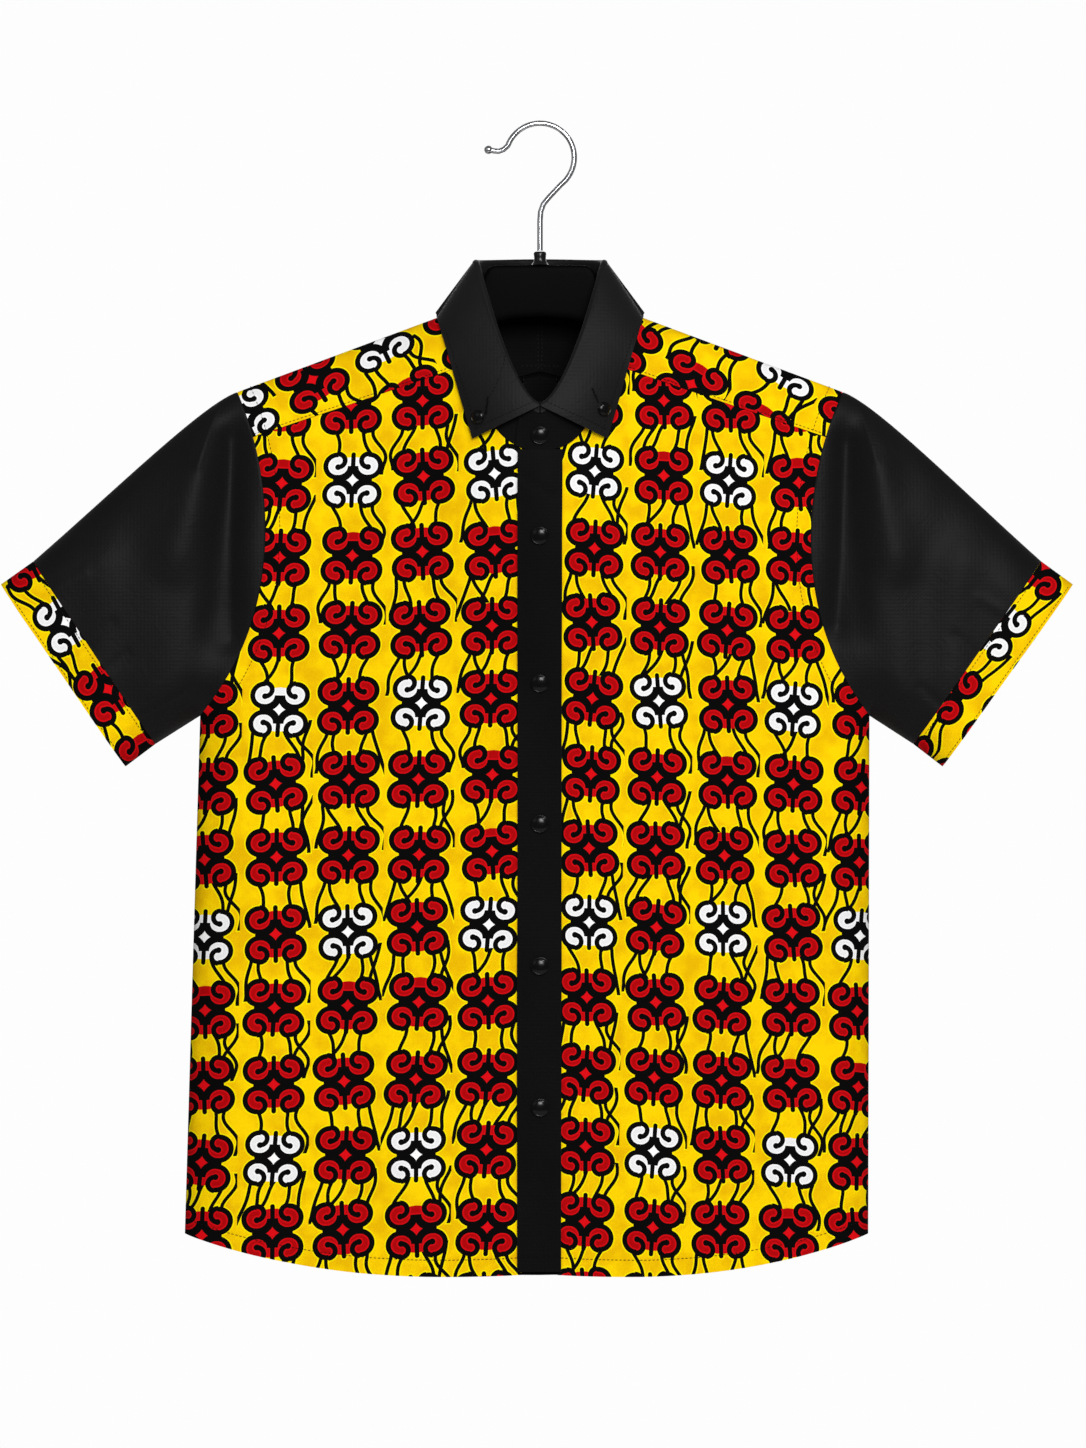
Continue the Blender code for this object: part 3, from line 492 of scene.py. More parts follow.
def wall_mesh(name, outer, inner, ring, print_uv=None):
    """A closed wall between two grids of points. Its rows may close into a ring."""
    rows, columns = outer.shape[:2]
    points = np.vstack([outer.reshape(-1, 3), inner.reshape(-1, 3)])
    index = np.arange(rows * columns).reshape(rows, columns)
    here = index if ring else index[:-1]
    after = np.roll(index, -1, axis=0) if ring else index[1:]
    a, b = here[:, :-1].ravel(), here[:, 1:].ravel()
    c, d = after[:, 1:].ravel(), after[:, :-1].ravel()
    below = rows * columns
    quads = [np.column_stack([a, b, c, d]), np.column_stack([a, d, c, b]) + (below,)]
    for column, turned in ((0, False), (columns - 1, True)):
        a, b = here[:, column], after[:, column]
        edge = np.column_stack([a, b, b + below, a + below])
        quads.append(edge[:, ::-1] if turned else edge)
    if not ring:
        for row, turned in ((0, True), (rows - 1, False)):
            a, b = index[row, :-1], index[row, 1:]
            edge = np.column_stack([a, b, b + below, a + below])
            quads.append(edge[:, ::-1] if turned else edge)
    quads = np.vstack(quads)
    volume = np.linalg.det(points[quads[:, [0, 1, 2]]]).sum()
    volume += np.linalg.det(points[quads[:, [0, 2, 3]]]).sum()
    if volume < 0:
        quads = quads[:, ::-1]
    mesh = bpy.data.meshes.new(name)
    mesh.from_pydata(points.tolist(), [], quads.tolist())
    if print_uv is not None:
        layer = mesh.uv_layers.new(name="print")
        corners = np.empty(len(mesh.loops), int)
        mesh.loops.foreach_get("vertex_index", corners)
        values = print_uv.reshape(-1, 2)[corners % below]
        layer.data.foreach_set("uv", values.ravel())
    return mesh


def cloth(node, grid, face, thickness, finish, slot, lift=0.0, ring=False, **more):
    """A piece of cloth on the form, in place of its source node."""
    outer, normals = lay(grid, face, lift)
    inner = outer - normals * thickness
    if not ring and np.ndim(face) == 0:
        for points in (outer, inner):
            points[..., 1] = face * np.maximum(face * points[..., 1], GAP / 2)
    outer, inner = hang(outer), hang(inner)
    mesh = wall_mesh(node, outer, inner, ring, more.get("print_uv"))
    made = piece("cloth_" + node, mesh, finish, (node,))
    # Inside faces may take a second finish, a darker copy of the cloth: painted shade.
    if "inside" in more:
        made.data.materials.append(more["inside"])
        walls = (outer.shape[0] - 1) * (outer.shape[1] - 1)
        finishes = np.zeros(len(made.data.polygons), int)
        finishes[walls : 2 * walls] = 1
        made.data.polygons.foreach_set("material_index", finishes)
    return made


# %% Edges that panels share
def mirrored(grid):
    """The same grid on the other side of the shirt."""
    return grid * np.array([-1, 1])


def armhole(step):
    """Point of the armhole seam, counted in steps that are short at both ends."""
    return bezier(ARMHOLE_CURVE, (1 - np.cos(math.pi * np.asarray(step) / ARMHOLE_STEPS)) / 2)


def neck_seam(angle):
    """Front-view point of the neck seam, from 0 at the front to pi at the back."""
    angle = np.asarray(angle, float)
    turn = np.abs(np.sin(angle))
    front = NECK_FRONT_Z + (NECK_SIDE_Z - NECK_FRONT_Z) * turn**NECK_ROUNDNESS
    back = NECK_SIDE_Z + (NECK_BACK_Z - NECK_SIDE_Z) * np.cos(angle) ** 2
    z = np.where(np.cos(angle) >= 0, front, back)
    return np.stack([NECK_HALF_WIDTH * np.sin(angle), z], axis=-1)


YOKE_NECK_ANGLE = math.asin(
    ((YOKE_NECK_Z - NECK_FRONT_Z) / (NECK_SIDE_Z - NECK_FRONT_Z)) ** (1 / NECK_ROUNDNESS)
)


def panel_edges(inner_x, to_neck):
    """The inner and outer edges of half a body panel, row by row from the hem up."""
    share = np.linspace(0, 1, BODY_ROWS + 1)
    outer = [between(HEM_CORNER, UNDERARM, share)]
    inner = [between((inner_x, HEM_CENTRE_Z), (inner_x, CHEST_Z), share)]
    steps = np.arange(ARMHOLE_STEPS - 1, YOKE_STEP - 1, -1)
    outer.append(armhole(steps))
    rows = len(steps)
    if to_neck:
        start_angle = math.asin(inner_x / NECK_HALF_WIDTH)
        top = neck_seam(start_angle)
        up = np.linspace(0, 1, rows - NECK_ROWS + 1)[1:]
        inner.append(between((inner_x, CHEST_Z), top, up))
        angles = np.linspace(start_angle, YOKE_NECK_ANGLE, NECK_ROWS + 1)[1:]
        inner.append(neck_seam(angles))
    else:
        up = np.linspace(0, 1, rows + 1)[1:]
        inner.append(between((inner_x, CHEST_Z), (inner_x, YOKE_BACK_Z), up))
    inner, outer = np.vstack(inner), np.vstack(outer)
    # The yoke's edge lies one gap above the panel's.
    outer[-1] += (0, -GAP)
    inner[-1] += (0, -GAP)
    return inner, outer


HEM_POINTS = 60


def panel_grid(inner, outer, columns, face):
    """Half a body panel: straight rows between two edges, with the hem's curve below."""
    grid = inner[:, None, :] * (1 - columns[None, :, None])
    grid = grid + outer[:, None, :] * columns[None, :, None]
    hem = bezier(HEM_CURVES[face], np.linspace(0, 1, HEM_POINTS))
    share = np.linspace(0, 1, BODY_ROWS + 1)
    for row in range(BODY_ROWS // 2):
        u = np.abs(grid[row, :, 0]) / np.abs(outer[0, 0])
        curved = np.interp(u, hem[:, 0], hem[:, 1])
        straight = HEM_CENTRE_Z + (HEM_CORNER[1] - HEM_CENTRE_Z) * u
        grid[row, :, 1] += (curved - straight) * (1 - share[row] * 2)
    return grid


def dense_outside(count):
    """Shares across a panel, closer together towards the side seam."""
    return 1 - (1 - np.linspace(0, 1, count + 1)) ** 2


# %% [markdown]
# ## The printed cotton
# Wax-printed cotton takes its colour right through, so it is matt and the black outlines are
# crisp. The figure is a traditional one: four ram's-horn curls round a small lozenge. It is
# worked out from circles and one spiral in a folded quarter of each cell, never traced. Every
# third row has white figures in turn, and thin wavy lines join each figure to the next row.

# %% Sizes of the printed figure, in millimetres
CELL_ACROSS, CELL_DOWN = 54.0, 58.4
CURL_X, CURL_Y = 12.5, 11.5
CURL_RADIUS, HALF_STROKE = 9.1, 2.0
HOOK_IN, HOOK_OUT, HOOK_RADIUS = 0.7, 4.4, 5.3
RING_OPENS = 1.15
BAR_HALF, BAR_END = 1.8, 20.8
LINE_HALF = 1.4
WHITE_EVERY = 3
WHITE_SIZE = 0.96

# Each row is one Math node: result, operation, then its inputs, by name or as numbers.
PLACE_ROWS = (
    ("column", "FLOOR", "u"),
    ("row", "FLOOR", "v"),
    ("in_column", "FRACT", "u"),
    ("in_row", "FRACT", "v"),
    ("enlarged", "MULTIPLY_ADD", "white", 1 / WHITE_SIZE - 1, 1.0),
    ("tilt", "MULTIPLY_ADD", "chance_1", 0.20, -0.10),
    ("x_moved", "MULTIPLY_ADD", "chance_2", 2.4, -CELL_ACROSS / 2 - 1.2),
    ("y_moved", "MULTIPLY_ADD", "chance_3", 2.4, -CELL_DOWN / 2 - 1.2),
    ("x_flat", "MULTIPLY_ADD", "in_column", CELL_ACROSS, "x_moved"),
    ("y_flat", "MULTIPLY_ADD", "in_row", CELL_DOWN, "y_moved"),
    ("cosine", "COSINE", "tilt"),
    ("sine", "SINE", "tilt"),
    ("x_by_cos", "MULTIPLY", "x_flat", "cosine"),
    ("y_by_sin", "MULTIPLY", "y_flat", "sine"),
    ("x_by_sin", "MULTIPLY", "x_flat", "sine"),
    ("y_by_cos", "MULTIPLY", "y_flat", "cosine"),
    ("x_turned", "SUBTRACT", "x_by_cos", "y_by_sin"),
    ("y_turned", "ADD", "x_by_sin", "y_by_cos"),
    ("x", "MULTIPLY", "x_turned", "enlarged"),
    ("y", "MULTIPLY", "y_turned", "enlarged"),
    ("side", "ABSOLUTE", "x"),
    ("up", "ABSOLUTE", "y"),
)
CURL_ROWS = (
    ("in", "SUBTRACT", CURL_X, "side"),
    ("out", "SUBTRACT", "up", CURL_Y),
    ("in_2", "MULTIPLY", "in", "in"),
    ("far_2", "MULTIPLY_ADD", "out", "out", "in_2"),
    ("radius", "SQRT", "far_2"),
    ("angle", "ARCTAN2", "out", "in"),
    # The ring widens a little where it runs into the bar.
    ("under", "ADD", "angle", math.pi / 2),
    ("under_1", "DIVIDE", "under", RING_OPENS),
    ("under_2", "MAXIMUM", "under_1", 0.0),
    ("under_3", "MINIMUM", "under_2", 1.0),
    ("inner_half", "GREATER_THAN", "in", HOOK_IN),
    ("opening", "MULTIPLY", "under_3", "inner_half"),
    ("ring", "MULTIPLY_ADD", "opening", 1.2, CURL_RADIUS),
    ("ring_off", "SUBTRACT", "radius", "ring"),
    ("ring_side", "ABSOLUTE", "ring_off"),
    ("ring_edge", "SUBTRACT", "ring_side", HALF_STROKE),
    # In the corner next to the bar's end the ring gives way to the hook, half a smaller circle.
    ("hook_in", "SUBTRACT", "in", HOOK_IN),
    ("corner", "MINIMUM", "hook_in", "out"),
    ("ring_black", "MAXIMUM", "ring_edge", "corner"),
    ("hook_out", "SUBTRACT", "out", HOOK_OUT),
    ("hook_in_2", "MULTIPLY", "hook_in", "hook_in"),
    ("hook_2", "MULTIPLY_ADD", "hook_out", "hook_out", "hook_in_2"),
    ("hook_far", "SQRT", "hook_2"),
    ("hook_off", "SUBTRACT", "hook_far", HOOK_RADIUS),
    ("hook_side", "ABSOLUTE", "hook_off"),
    ("hook_edge", "SUBTRACT", "hook_side", HALF_STROKE),
    ("hook_behind", "MULTIPLY", "hook_in", -1.0),
    ("hook_black", "MAXIMUM", "hook_edge", "hook_behind"),
    ("stroke", "MINIMUM", "ring_black", "hook_black"),
)
FIGURE_ROWS = (
    # Round end of the hook.
    ("end_out", "SUBTRACT", "out", HOOK_OUT - HOOK_RADIUS),
    ("end_2", "MULTIPLY_ADD", "end_out", "end_out", "hook_in_2"),
    ("end_far", "SQRT", "end_2"),
    ("end", "SUBTRACT", "end_far", HALF_STROKE * 1.2),
    # Upright bar with round ends, and the short bar across the waist.
    ("bar_over", "SUBTRACT", "up", BAR_END),
    ("bar_up", "MAXIMUM", "bar_over", 0.0),
    ("bar_up_2", "MULTIPLY", "bar_up", "bar_up"),
    ("bar_2", "MULTIPLY_ADD", "side", "side", "bar_up_2"),
    ("bar_far", "SQRT", "bar_2"),
    ("bar_edge", "SUBTRACT", "bar_far", BAR_HALF),
    # Some figures have no upper bar.
    ("upper", "LESS_THAN", "y", -6.0),
    ("barless", "LESS_THAN", "chance_2", 0.2),
    ("no_bar", "MULTIPLY", "upper", "barless"),
    ("bar", "MULTIPLY_ADD", "no_bar", 30.0, "bar_edge"),
    ("web_side", "SUBTRACT", "side", 15.5),
    ("web_up", "SUBTRACT", "up", 1.6),
    ("web", "MAXIMUM", "web_side", "web_up"),
    # The solid waist between the four curls.
    ("inside_ring", "SUBTRACT", "ring", "radius"),
    ("inside_edge", "SUBTRACT", "inside_ring", HALF_STROKE),
    ("not_in", "MULTIPLY", "in", -1.0),
    ("waist_1", "MAXIMUM", "inside_edge", "not_in"),
    ("waist", "MAXIMUM", "waist_1", "out"),
    ("black_1", "MINIMUM", "stroke", "end"),
    ("black_2", "MINIMUM", "bar", "web"),
    ("black_3", "MINIMUM", "black_1", "black_2"),
    ("figure_black", "MINIMUM", "black_3", "waist"),
    # The lozenge in the middle.
    ("star_x", "DIVIDE", "side", 5.0),
    ("star_y", "DIVIDE", "up", 5.0),
    ("star_x1", "POWER", "star_x", 0.8),
    ("star_y1", "POWER", "star_y", 0.8),
    ("star", "ADD", "star_x1", "star_y1"),
    ("lozenge", "LESS_THAN", "star", 1.0),
    # Where colour fills the curls, and the tongue that runs up beside the bar.
    ("in_ring", "LESS_THAN", "ring_off", 0.0),
    ("in_corner", "GREATER_THAN", "corner", 0.0),
    ("no_corner", "SUBTRACT", 1.0, "in_corner"),
    ("fill_ring", "MULTIPLY", "in_ring", "no_corner"),
    ("in_hook", "LESS_THAN", "hook_off", 0.0),
    ("tongue_lean", "MULTIPLY_ADD", "in", 0.12, 4.9),
    ("tongue_top", "MULTIPLY_ADD", "chance_3", 1.8, "tongue_lean"),
    ("tongue", "LESS_THAN", "out", "tongue_top"),
    ("hook_tongue", "MAXIMUM", "in_hook", "tongue"),
    ("fill_corner", "MULTIPLY", "hook_tongue", "in_corner"),
    ("filled_1", "MAXIMUM", "fill_ring", "fill_corner"),
    ("filled", "MAXIMUM", "filled_1", "lozenge"),
)
# White figures: every third row, in every other column, the columns changing places each time.
CHOICE_ROWS = (
    ("row_mod", "FLOORED_MODULO", "row", WHITE_EVERY),
    ("white_row", "COMPARE", "row_mod", 1.0, 0.1),
    ("row_third", "DIVIDE", "row", WHITE_EVERY),
    ("row_group", "FLOOR", "row_third"),
    ("steps", "ADD", "row_group", "column"),
    ("odd", "FLOORED_MODULO", "steps", 2.0),
    ("even", "LESS_THAN", "odd", 0.5),
    ("white", "MULTIPLY", "white_row", "even"),
)
# Wavy lines in the gap between two rows, counted from the gap's middle.
GAP_ROWS = (
    ("v_gap", "ADD", "v", 0.5),
    ("gap_row", "FLOOR", "v_gap"),
    ("in_gap", "FRACT", "v_gap"),
    ("down", "MULTIPLY_ADD", "in_gap", CELL_DOWN, -CELL_DOWN / 2),
    ("across", "MULTIPLY_ADD", "in_column", CELL_ACROSS, -CELL_ACROSS / 2),
)
LINE_COLUMNS = (
    "name", "side", "chance", "other_chance", "lean", "branch", "top", "foot", "least", "most",
)
LINES = (
    ("left", -11.0, "gap_1", "gap_2", 0.45, 0.0, -13, 12, 0.0, 1.0),
    ("right", 11.0, "gap_2", "gap_3", 0.45, 0.0, -13, 12, 0.0, 1.0),
    ("near", -5.0, "gap_3", "gap_1", -0.65, 0.0, -13, 11, 0.0, 0.36),
    ("right fork", 17.0, "gap_3", "gap_1", 0.12, 8.5, -13, 26, 0.30, 1.0),
    ("left fork", -17.0, "gap_1", "gap_3", 0.12, -8.0, -13, 23, 0.55, 1.0),
    ("up fork", 17.0, "gap_2", "gap_1", 0.12, 9.0, -19, 12, 0.0, 0.50),
)


# %% Work out formula rows
def work_out(tree, rows, known):
    """Adds one Math node for each row, and keeps its result under the row's name."""
    for result, operation, *values in rows:
        inputs = {i: known.get(v, v) if isinstance(v, str) else v for i, v in enumerate(values)}
        node = add(tree, "ShaderNodeMath", inputs, operation=operation)
        known[result] = node.outputs[0]


def chances(tree, known, names, column, row, seed):
    """Three random numbers that are the same all over one cell."""
    cell = add(tree, "ShaderNodeCombineXYZ", {0: known[column], 1: known[row], 2: seed})
    noise = add(tree, "ShaderNodeTexWhiteNoise", {"Vector": cell.outputs[0]})
    split = add(tree, "ShaderNodeSeparateColor", {0: noise.outputs["Color"]})
    for name, socket in zip(names, split.outputs):
        known[name] = socket


# How fast and how far a line waves, and the stretch over which a fork swings out.
WAVE_TURN, WAVE_SWING = 0.19, 1.6
FORK_RUN, FORK_START = 23.0, 7.0


def line_rows(line):
    """Formula rows of one wavy line. It bends with chance, and stops at its top and foot."""
    lean = 2 * line["lean"] if line["lean"] > 0 else 0.0
    always = 0.0 if line["lean"] > 0 else line["lean"]
    way = 1.0 if line["foot"] > -line["top"] else -1.0
    steepest = way * line["branch"] * math.pi / (2 * FORK_RUN)
    return (
        ("phase", "MULTIPLY", line["chance"], 6.28),
        ("angle", "MULTIPLY_ADD", "down", WAVE_TURN, "phase"),
        ("sine", "SINE", "angle"),
        ("random_lean", "SUBTRACT", line["other_chance"], 0.5),
        ("lean", "MULTIPLY_ADD", "random_lean", lean, always),
        ("from", "MULTIPLY_ADD", "lean", "down", line["side"]),
        ("middle", "MULTIPLY_ADD", "sine", WAVE_SWING, "from"),
        # A fork swings out with a smooth start and end.
        ("way", "MULTIPLY_ADD", "down", way / FORK_RUN, FORK_START / FORK_RUN),
        ("way_1", "MAXIMUM", "way", 0.0),
        ("way_2", "MINIMUM", "way_1", 1.0),
        ("turn", "MULTIPLY", "way_2", math.pi),
        ("cosine", "COSINE", "turn"),
        ("soft", "MULTIPLY_ADD", "cosine", -0.5, 0.5),
        ("bent", "MULTIPLY_ADD", "soft", line["branch"], "middle"),
        ("off", "SUBTRACT", "across", "bent"),
        ("wide", "ABSOLUTE", "off"),
        # Divided by the line's own slope, so that it is as thick where it leans.
        ("wave", "COSINE", "angle"),
        ("slope_1", "MULTIPLY_ADD", "wave", WAVE_SWING * WAVE_TURN, "lean"),
        ("swing", "SINE", "turn"),
        ("slope", "MULTIPLY_ADD", "swing", steepest, "slope_1"),
        ("run_2", "MULTIPLY_ADD", "slope", "slope", 1.0),
        ("run", "SQRT", "run_2"),
        ("near", "DIVIDE", "wide", "run"),
        ("edge", "SUBTRACT", "near", LINE_HALF),
        ("over", "SUBTRACT", line["top"], "down"),
        ("under", "SUBTRACT", "down", line["foot"]),
        ("past", "MAXIMUM", "over", "under"),
        ("drawn", "MAXIMUM", "edge", "past"),
        # Outside its range of chance the line is moved far away.
        ("low", "LESS_THAN", line["chance"], line["least"]),
        ("high", "GREATER_THAN", line["chance"], line["most"]),
        ("none", "ADD", "low", "high"),
        ("line", "MULTIPLY_ADD", "none", 40.0, "drawn"),
    )


# %% Printed cotton
def weave_bump(tree, coordinates, thread_mm, strength):
    """Plain weave: two crossing sets of threads. Real threads are 0.3 mm apart, and these are
    drawn coarser so that they show."""
    scale = 1 / (thread_mm * MM) / 10
    heights = []
    for direction in ("X", "Z"):
        threads = add(
            tree,
            "ShaderNodeTexWave",
            {"Vector": coordinates, "Scale": scale, "Distortion": 1.5, "Detail": 2.0},
            wave_type="BANDS",
            bands_direction=direction,
        )
        heights.append(threads.outputs["Fac"])
    woven = add(tree, "ShaderNodeMath", {0: heights[0], 1: heights[1]}, operation="MULTIPLY")
    bump = add(
        tree,
        "ShaderNodeBump",
        {"Strength": strength, "Distance": 0.2 * MM, "Height": woven.outputs[0]},
    )
    return bump.outputs[0]


def cotton_shader(name, roughness, sheen, specular):
    """A new cloth material and its shader, with the values that all cotton here shares."""
    made = bpy.data.materials.new(name)
    made.use_nodes = True
    shader = made.node_tree.nodes["Principled BSDF"]
    shader.inputs["Roughness"].default_value = roughness
    shader.inputs["IOR"].default_value = 1.47
    shader.inputs["Specular IOR Level"].default_value = specular
    shader.inputs["Sheen Weight"].default_value = sheen
    shader.inputs["Sheen Roughness"].default_value = 0.5
    return made, made.node_tree, shader


printed_cotton, tree, shader = cotton_shader("wax-printed cotton", 0.85, 0.0, 0.06)
place = add(tree, "ShaderNodeUVMap", uv_map="print")
uv = add(tree, "ShaderNodeSeparateXYZ", {0: place.outputs[0]})
known = {"u": uv.outputs[0], "v": uv.outputs[1]}
work_out(tree, PLACE_ROWS[:4] + CHOICE_ROWS, known)
chances(tree, known, ("chance_1", "chance_2", "chance_3"), "column", "row", 3.0)
work_out(tree, PLACE_ROWS[4:], known)
work_out(tree, CURL_ROWS + FIGURE_ROWS + GAP_ROWS, known)
chances(tree, known, ("gap_1", "gap_2", "gap_3"), "column", "gap_row", 11.0)
for row in LINES:
    own = dict(known)
    work_out(tree, line_rows(dict(zip(LINE_COLUMNS, row))), own)
    if "lines" in known:
        work_out(tree, [("line", "MINIMUM", "lines", "line")], own)
    known["lines"] = own["line"]
EDGE_ROWS = (
    ("black_edge", "MINIMUM", "figure_black", "lines"),
    ("not_lozenge", "SUBTRACT", 1.0, "lozenge"),
    ("figure_ink", "LESS_THAN", "figure_black", 0.0),
    ("figure_ink_1", "MULTIPLY", "figure_ink", "not_lozenge"),
    ("line_ink", "LESS_THAN", "lines", 0.0),
    ("not_filled", "SUBTRACT", 1.0, "filled"),
    ("line_ink_1", "MULTIPLY", "line_ink", "not_filled"),
    ("ink", "MAXIMUM", "figure_ink_1", "line_ink_1"),
    ("halo", "LESS_THAN", "black_edge", 0.9),
    ("rim_in", "SUBTRACT", 1.5, "figure_black"),
    ("rim_1", "DIVIDE", "rim_in", 1.2),
    ("rim_2", "MAXIMUM", "rim_1", 0.0),
    ("rim", "MINIMUM", "rim_2", 1.0),
)
work_out(tree, EDGE_ROWS, known)

# Yellow ground, a little uneven where the dye has pooled.
here = add(tree, "ShaderNodeTexCoord").outputs["Object"]
pooled = add(tree, "ShaderNodeTexNoise", {"Vector": here, "Scale": 55.0, "Detail": 4.0})
ground = add(tree, "ShaderNodeValToRGB", {"Fac": pooled.outputs["Fac"]})
ground.color_ramp.elements[0].position = 0.35
ground.color_ramp.elements[0].color = linear("#EDBA00")
ground.color_ramp.elements[1].position = 0.62
ground.color_ramp.elements[1].color = linear("#FFD500")


def mixed(factor, first, second):
    """A colour between two others."""
    inputs = {0: factor, 6: first, 7: second}
    return add(tree, "ShaderNodeMix", inputs, data_type="RGBA").outputs[2]


red = mixed(known["rim"], linear("#AE0308"), linear("#DC0A14"))
white = mixed(known["rim"], linear("#EDEDEE"), linear("#FFFFFF"))
dye = mixed(known["white"], red, white)
cloth_colour = mixed(known["halo"], ground.outputs["Color"], linear("#FFEC00"))
cloth_colour = mixed(known["filled"], cloth_colour, dye)
cloth_colour = mixed(known["ink"], cloth_colour, linear("#060505"))
tree.links.new(cloth_colour, shader.inputs["Base Color"])
tree.links.new(weave_bump(tree, here, 0.9, 0.25), shader.inputs["Normal"])
print("nodes in the print:", len(tree.nodes))

# %% [markdown]
# ## Black cotton and thread
# The sleeves, collar and back are plain black cotton, a shade softer than the printed black:
# dyed cloth scatters light from its short fibres, so it gets a little more sheen. The thread is
# polyester, smoother and tighter, so it catches a finer highlight. The collar, the bands and the
# linings take lighter and darker copies of the same cotton: painted light and painted shade.

# %% Black cotton, lining and thread
def black_cloth(name, colour, other, roughness, specular, thread_mm):
    """Dyed cotton, mottled between two near blacks."""
    made, tree, shader = cotton_shader(name, roughness, 0.04, specular)
    here = add(tree, "ShaderNodeTexCoord").outputs["Object"]
    worn = add(tree, "ShaderNodeTexNoise", {"Vector": here, "Scale": 28.0, "Detail": 6.0})
    shade = add(
        tree,
        "ShaderNodeMix",
        {0: worn.outputs["Fac"], 6: linear(colour), 7: linear(other)},
        data_type="RGBA",
    )
    tree.links.new(shade.outputs[2], shader.inputs["Base Color"])
    # Faint crumpling, a centimetre or two across, on top of the weave.
    crumple = add(
        tree,
        "ShaderNodeTexNoise",
        {"Vector": here, "Scale": 65.0, "Detail": 3.0, "Distortion": 2.5},
    )
    crumpled = add(
        tree,
        "ShaderNodeBump",
        {
            "Strength": 0.5,
            "Distance": 0.5 * MM,
            "Height": crumple.outputs["Fac"],
            "Normal": weave_bump(tree, here, thread_mm, 0.35),
        },
    )
    tree.links.new(crumpled.outputs[0], shader.inputs["Normal"])
    return made


black_cotton = black_cloth("dyed black cotton", "#0D0D0E", "#131314", 0.52, 0.09, 0.9)
# A lighter copy of the black cotton, for the collar leaf and the seams inside the neck: painted
# light.
black_cotton_painted_light = black_cloth("black cotton with painted light", "#111112", "#191919", 0.52, 0.10, 0.9)
# A darker copy of the black cotton, for the plackets and the collar stand: painted shade.
black_bands_painted_shade = black_cloth("black cotton bands with painted shade", "#080808", "#0D0D0D", 0.60, 0.035, 0.9)
# A darker copy of the black cotton, for the yoke lining and the back's inside faces: painted
# shade inside the neck.
black_inside_painted_shade = black_cloth("black cotton lining", "#050505", "#090909", 0.60, 0.03, 0.9)
black_thread = black_cloth("black polyester thread", "#050505", "#080808", 0.50, 0.05, 0.5)
blacks = (black_cotton, black_cotton_painted_light, black_bands_painted_shade, black_inside_painted_shade, black_thread)
print("blacks:", [finish.name for finish in blacks])


# %% [markdown]
# ## Resin, plastic and chromed wire
# Buttons are polished black resin, the hanger is satin moulded plastic with a faint grain, and
# the hook is steel wire with bright chrome, which mirrors the white room.

# %% Hard materials
def hard_material(name, colour, roughness, metallic, specular, grain_mm, grain_strength):
    """A moulded or plated finish with fine unevenness in its gloss and its surface."""
    made = bpy.data.materials.new(name)
    made.use_nodes = True
    tree = made.node_tree
    shader = tree.nodes["Principled BSDF"]
    shader.inputs["Base Color"].default_value = linear(colour)
    shader.inputs["Metallic"].default_value = metallic
    shader.inputs["Specular IOR Level"].default_value = specular
    here = add(tree, "ShaderNodeTexCoord").outputs["Object"]
    scale = 1 / (grain_mm * MM)
    grain = add(tree, "ShaderNodeTexNoise", {"Vector": here, "Scale": scale, "Detail": 3.0})
    gloss = add(
        tree,
        "ShaderNodeMapRange",
        {0: grain.outputs["Fac"], 3: roughness * 0.8, 4: roughness * 1.25},
    )
    tree.links.new(gloss.outputs[0], shader.inputs["Roughness"])
    bump = add(
        tree,
        "ShaderNodeBump",
        {"Strength": grain_strength, "Distance": 0.05 * MM, "Height": grain.outputs["Fac"]},
    )
    tree.links.new(bump.outputs[0], shader.inputs["Normal"])
    return made


resin = hard_material("polished black resin", "#030304", 0.20, 0.0, 0.22, 3.0, 0.0)
plastic = hard_material("moulded black plastic", "#040404", 0.50, 0.0, 0.022, 0.8, 0.30)
bright_plastic = hard_material("polished black plastic", "#0B0B0C", 0.22, 0.0, 0.35, 2.0, 0.1)
chrome = hard_material("chromed steel wire", "#C9CBCF", 0.12, 1.0, 0.5, 6.0, 0.03)
print("hard:", [finish.name for finish in (resin, plastic, bright_plastic, chrome)])

# %% [markdown]
# ## Front panels
# The fronts are printed cotton, cut square from hem to armhole. Their rows run straight across
# between the front edge and the side seam. The print rises a little towards the middle, as it
# was cut, so its cells are tilted in the UV map.

# %% Print cells on the fronts
ROW_PITCH = 58.4 * MM
PRINT_COLUMNS = ("first_column", "x", "pitch", "lean", "z", "slope")
PRINT_PLACES = {
    "right": (0.5, -257.5, 55.5, 0.6, -271.1, 0.038),
    "left": (20.5, 42.5, 52.7, 0.8, -268.5, 0.054),
}


def front_print(grid, side):
    """Pattern cells of points on the fronts: columns across, rows counted downwards."""
    place = dict(zip(PRINT_COLUMNS, PRINT_PLACES[side]))
    hung = hang(np.stack([grid[..., 0], 0 * grid[..., 0], grid[..., 1]], axis=-1))
    x, z = hung[..., 0], hung[..., 2]
    row = (place["z"] * MM - z - place["slope"] * np.abs(x)) / ROW_PITCH
    column = (x - place["x"] * MM + place["lean"] * MM * row) / (place["pitch"] * MM)
    return np.stack([column + place["first_column"], row + 1.5], axis=-1)


# %% Fronts
FRONT_COLUMNS = 70
inner_edge, outer_edge = panel_edges(FRONT_EDGE, to_neck=True)
front_grid = panel_grid(inner_edge, outer_edge, dense_outside(FRONT_COLUMNS), FRONT)
for side, grid in (("left", front_grid), ("right", mirrored(front_grid))):
    cells = front_print(grid, side)
    cloth("front_" + side, grid, FRONT, CLOTH, printed_cotton, "printed_cotton", print_uv=cells)

# %% [markdown]
# ## Back and yokes
# The back is plain black with a box pleat under the yoke. The yoke is printed and split at the
# centre back. Its print turns with the shoulder slope and runs on over the ridge, and its black
# lining shows inside the neck.

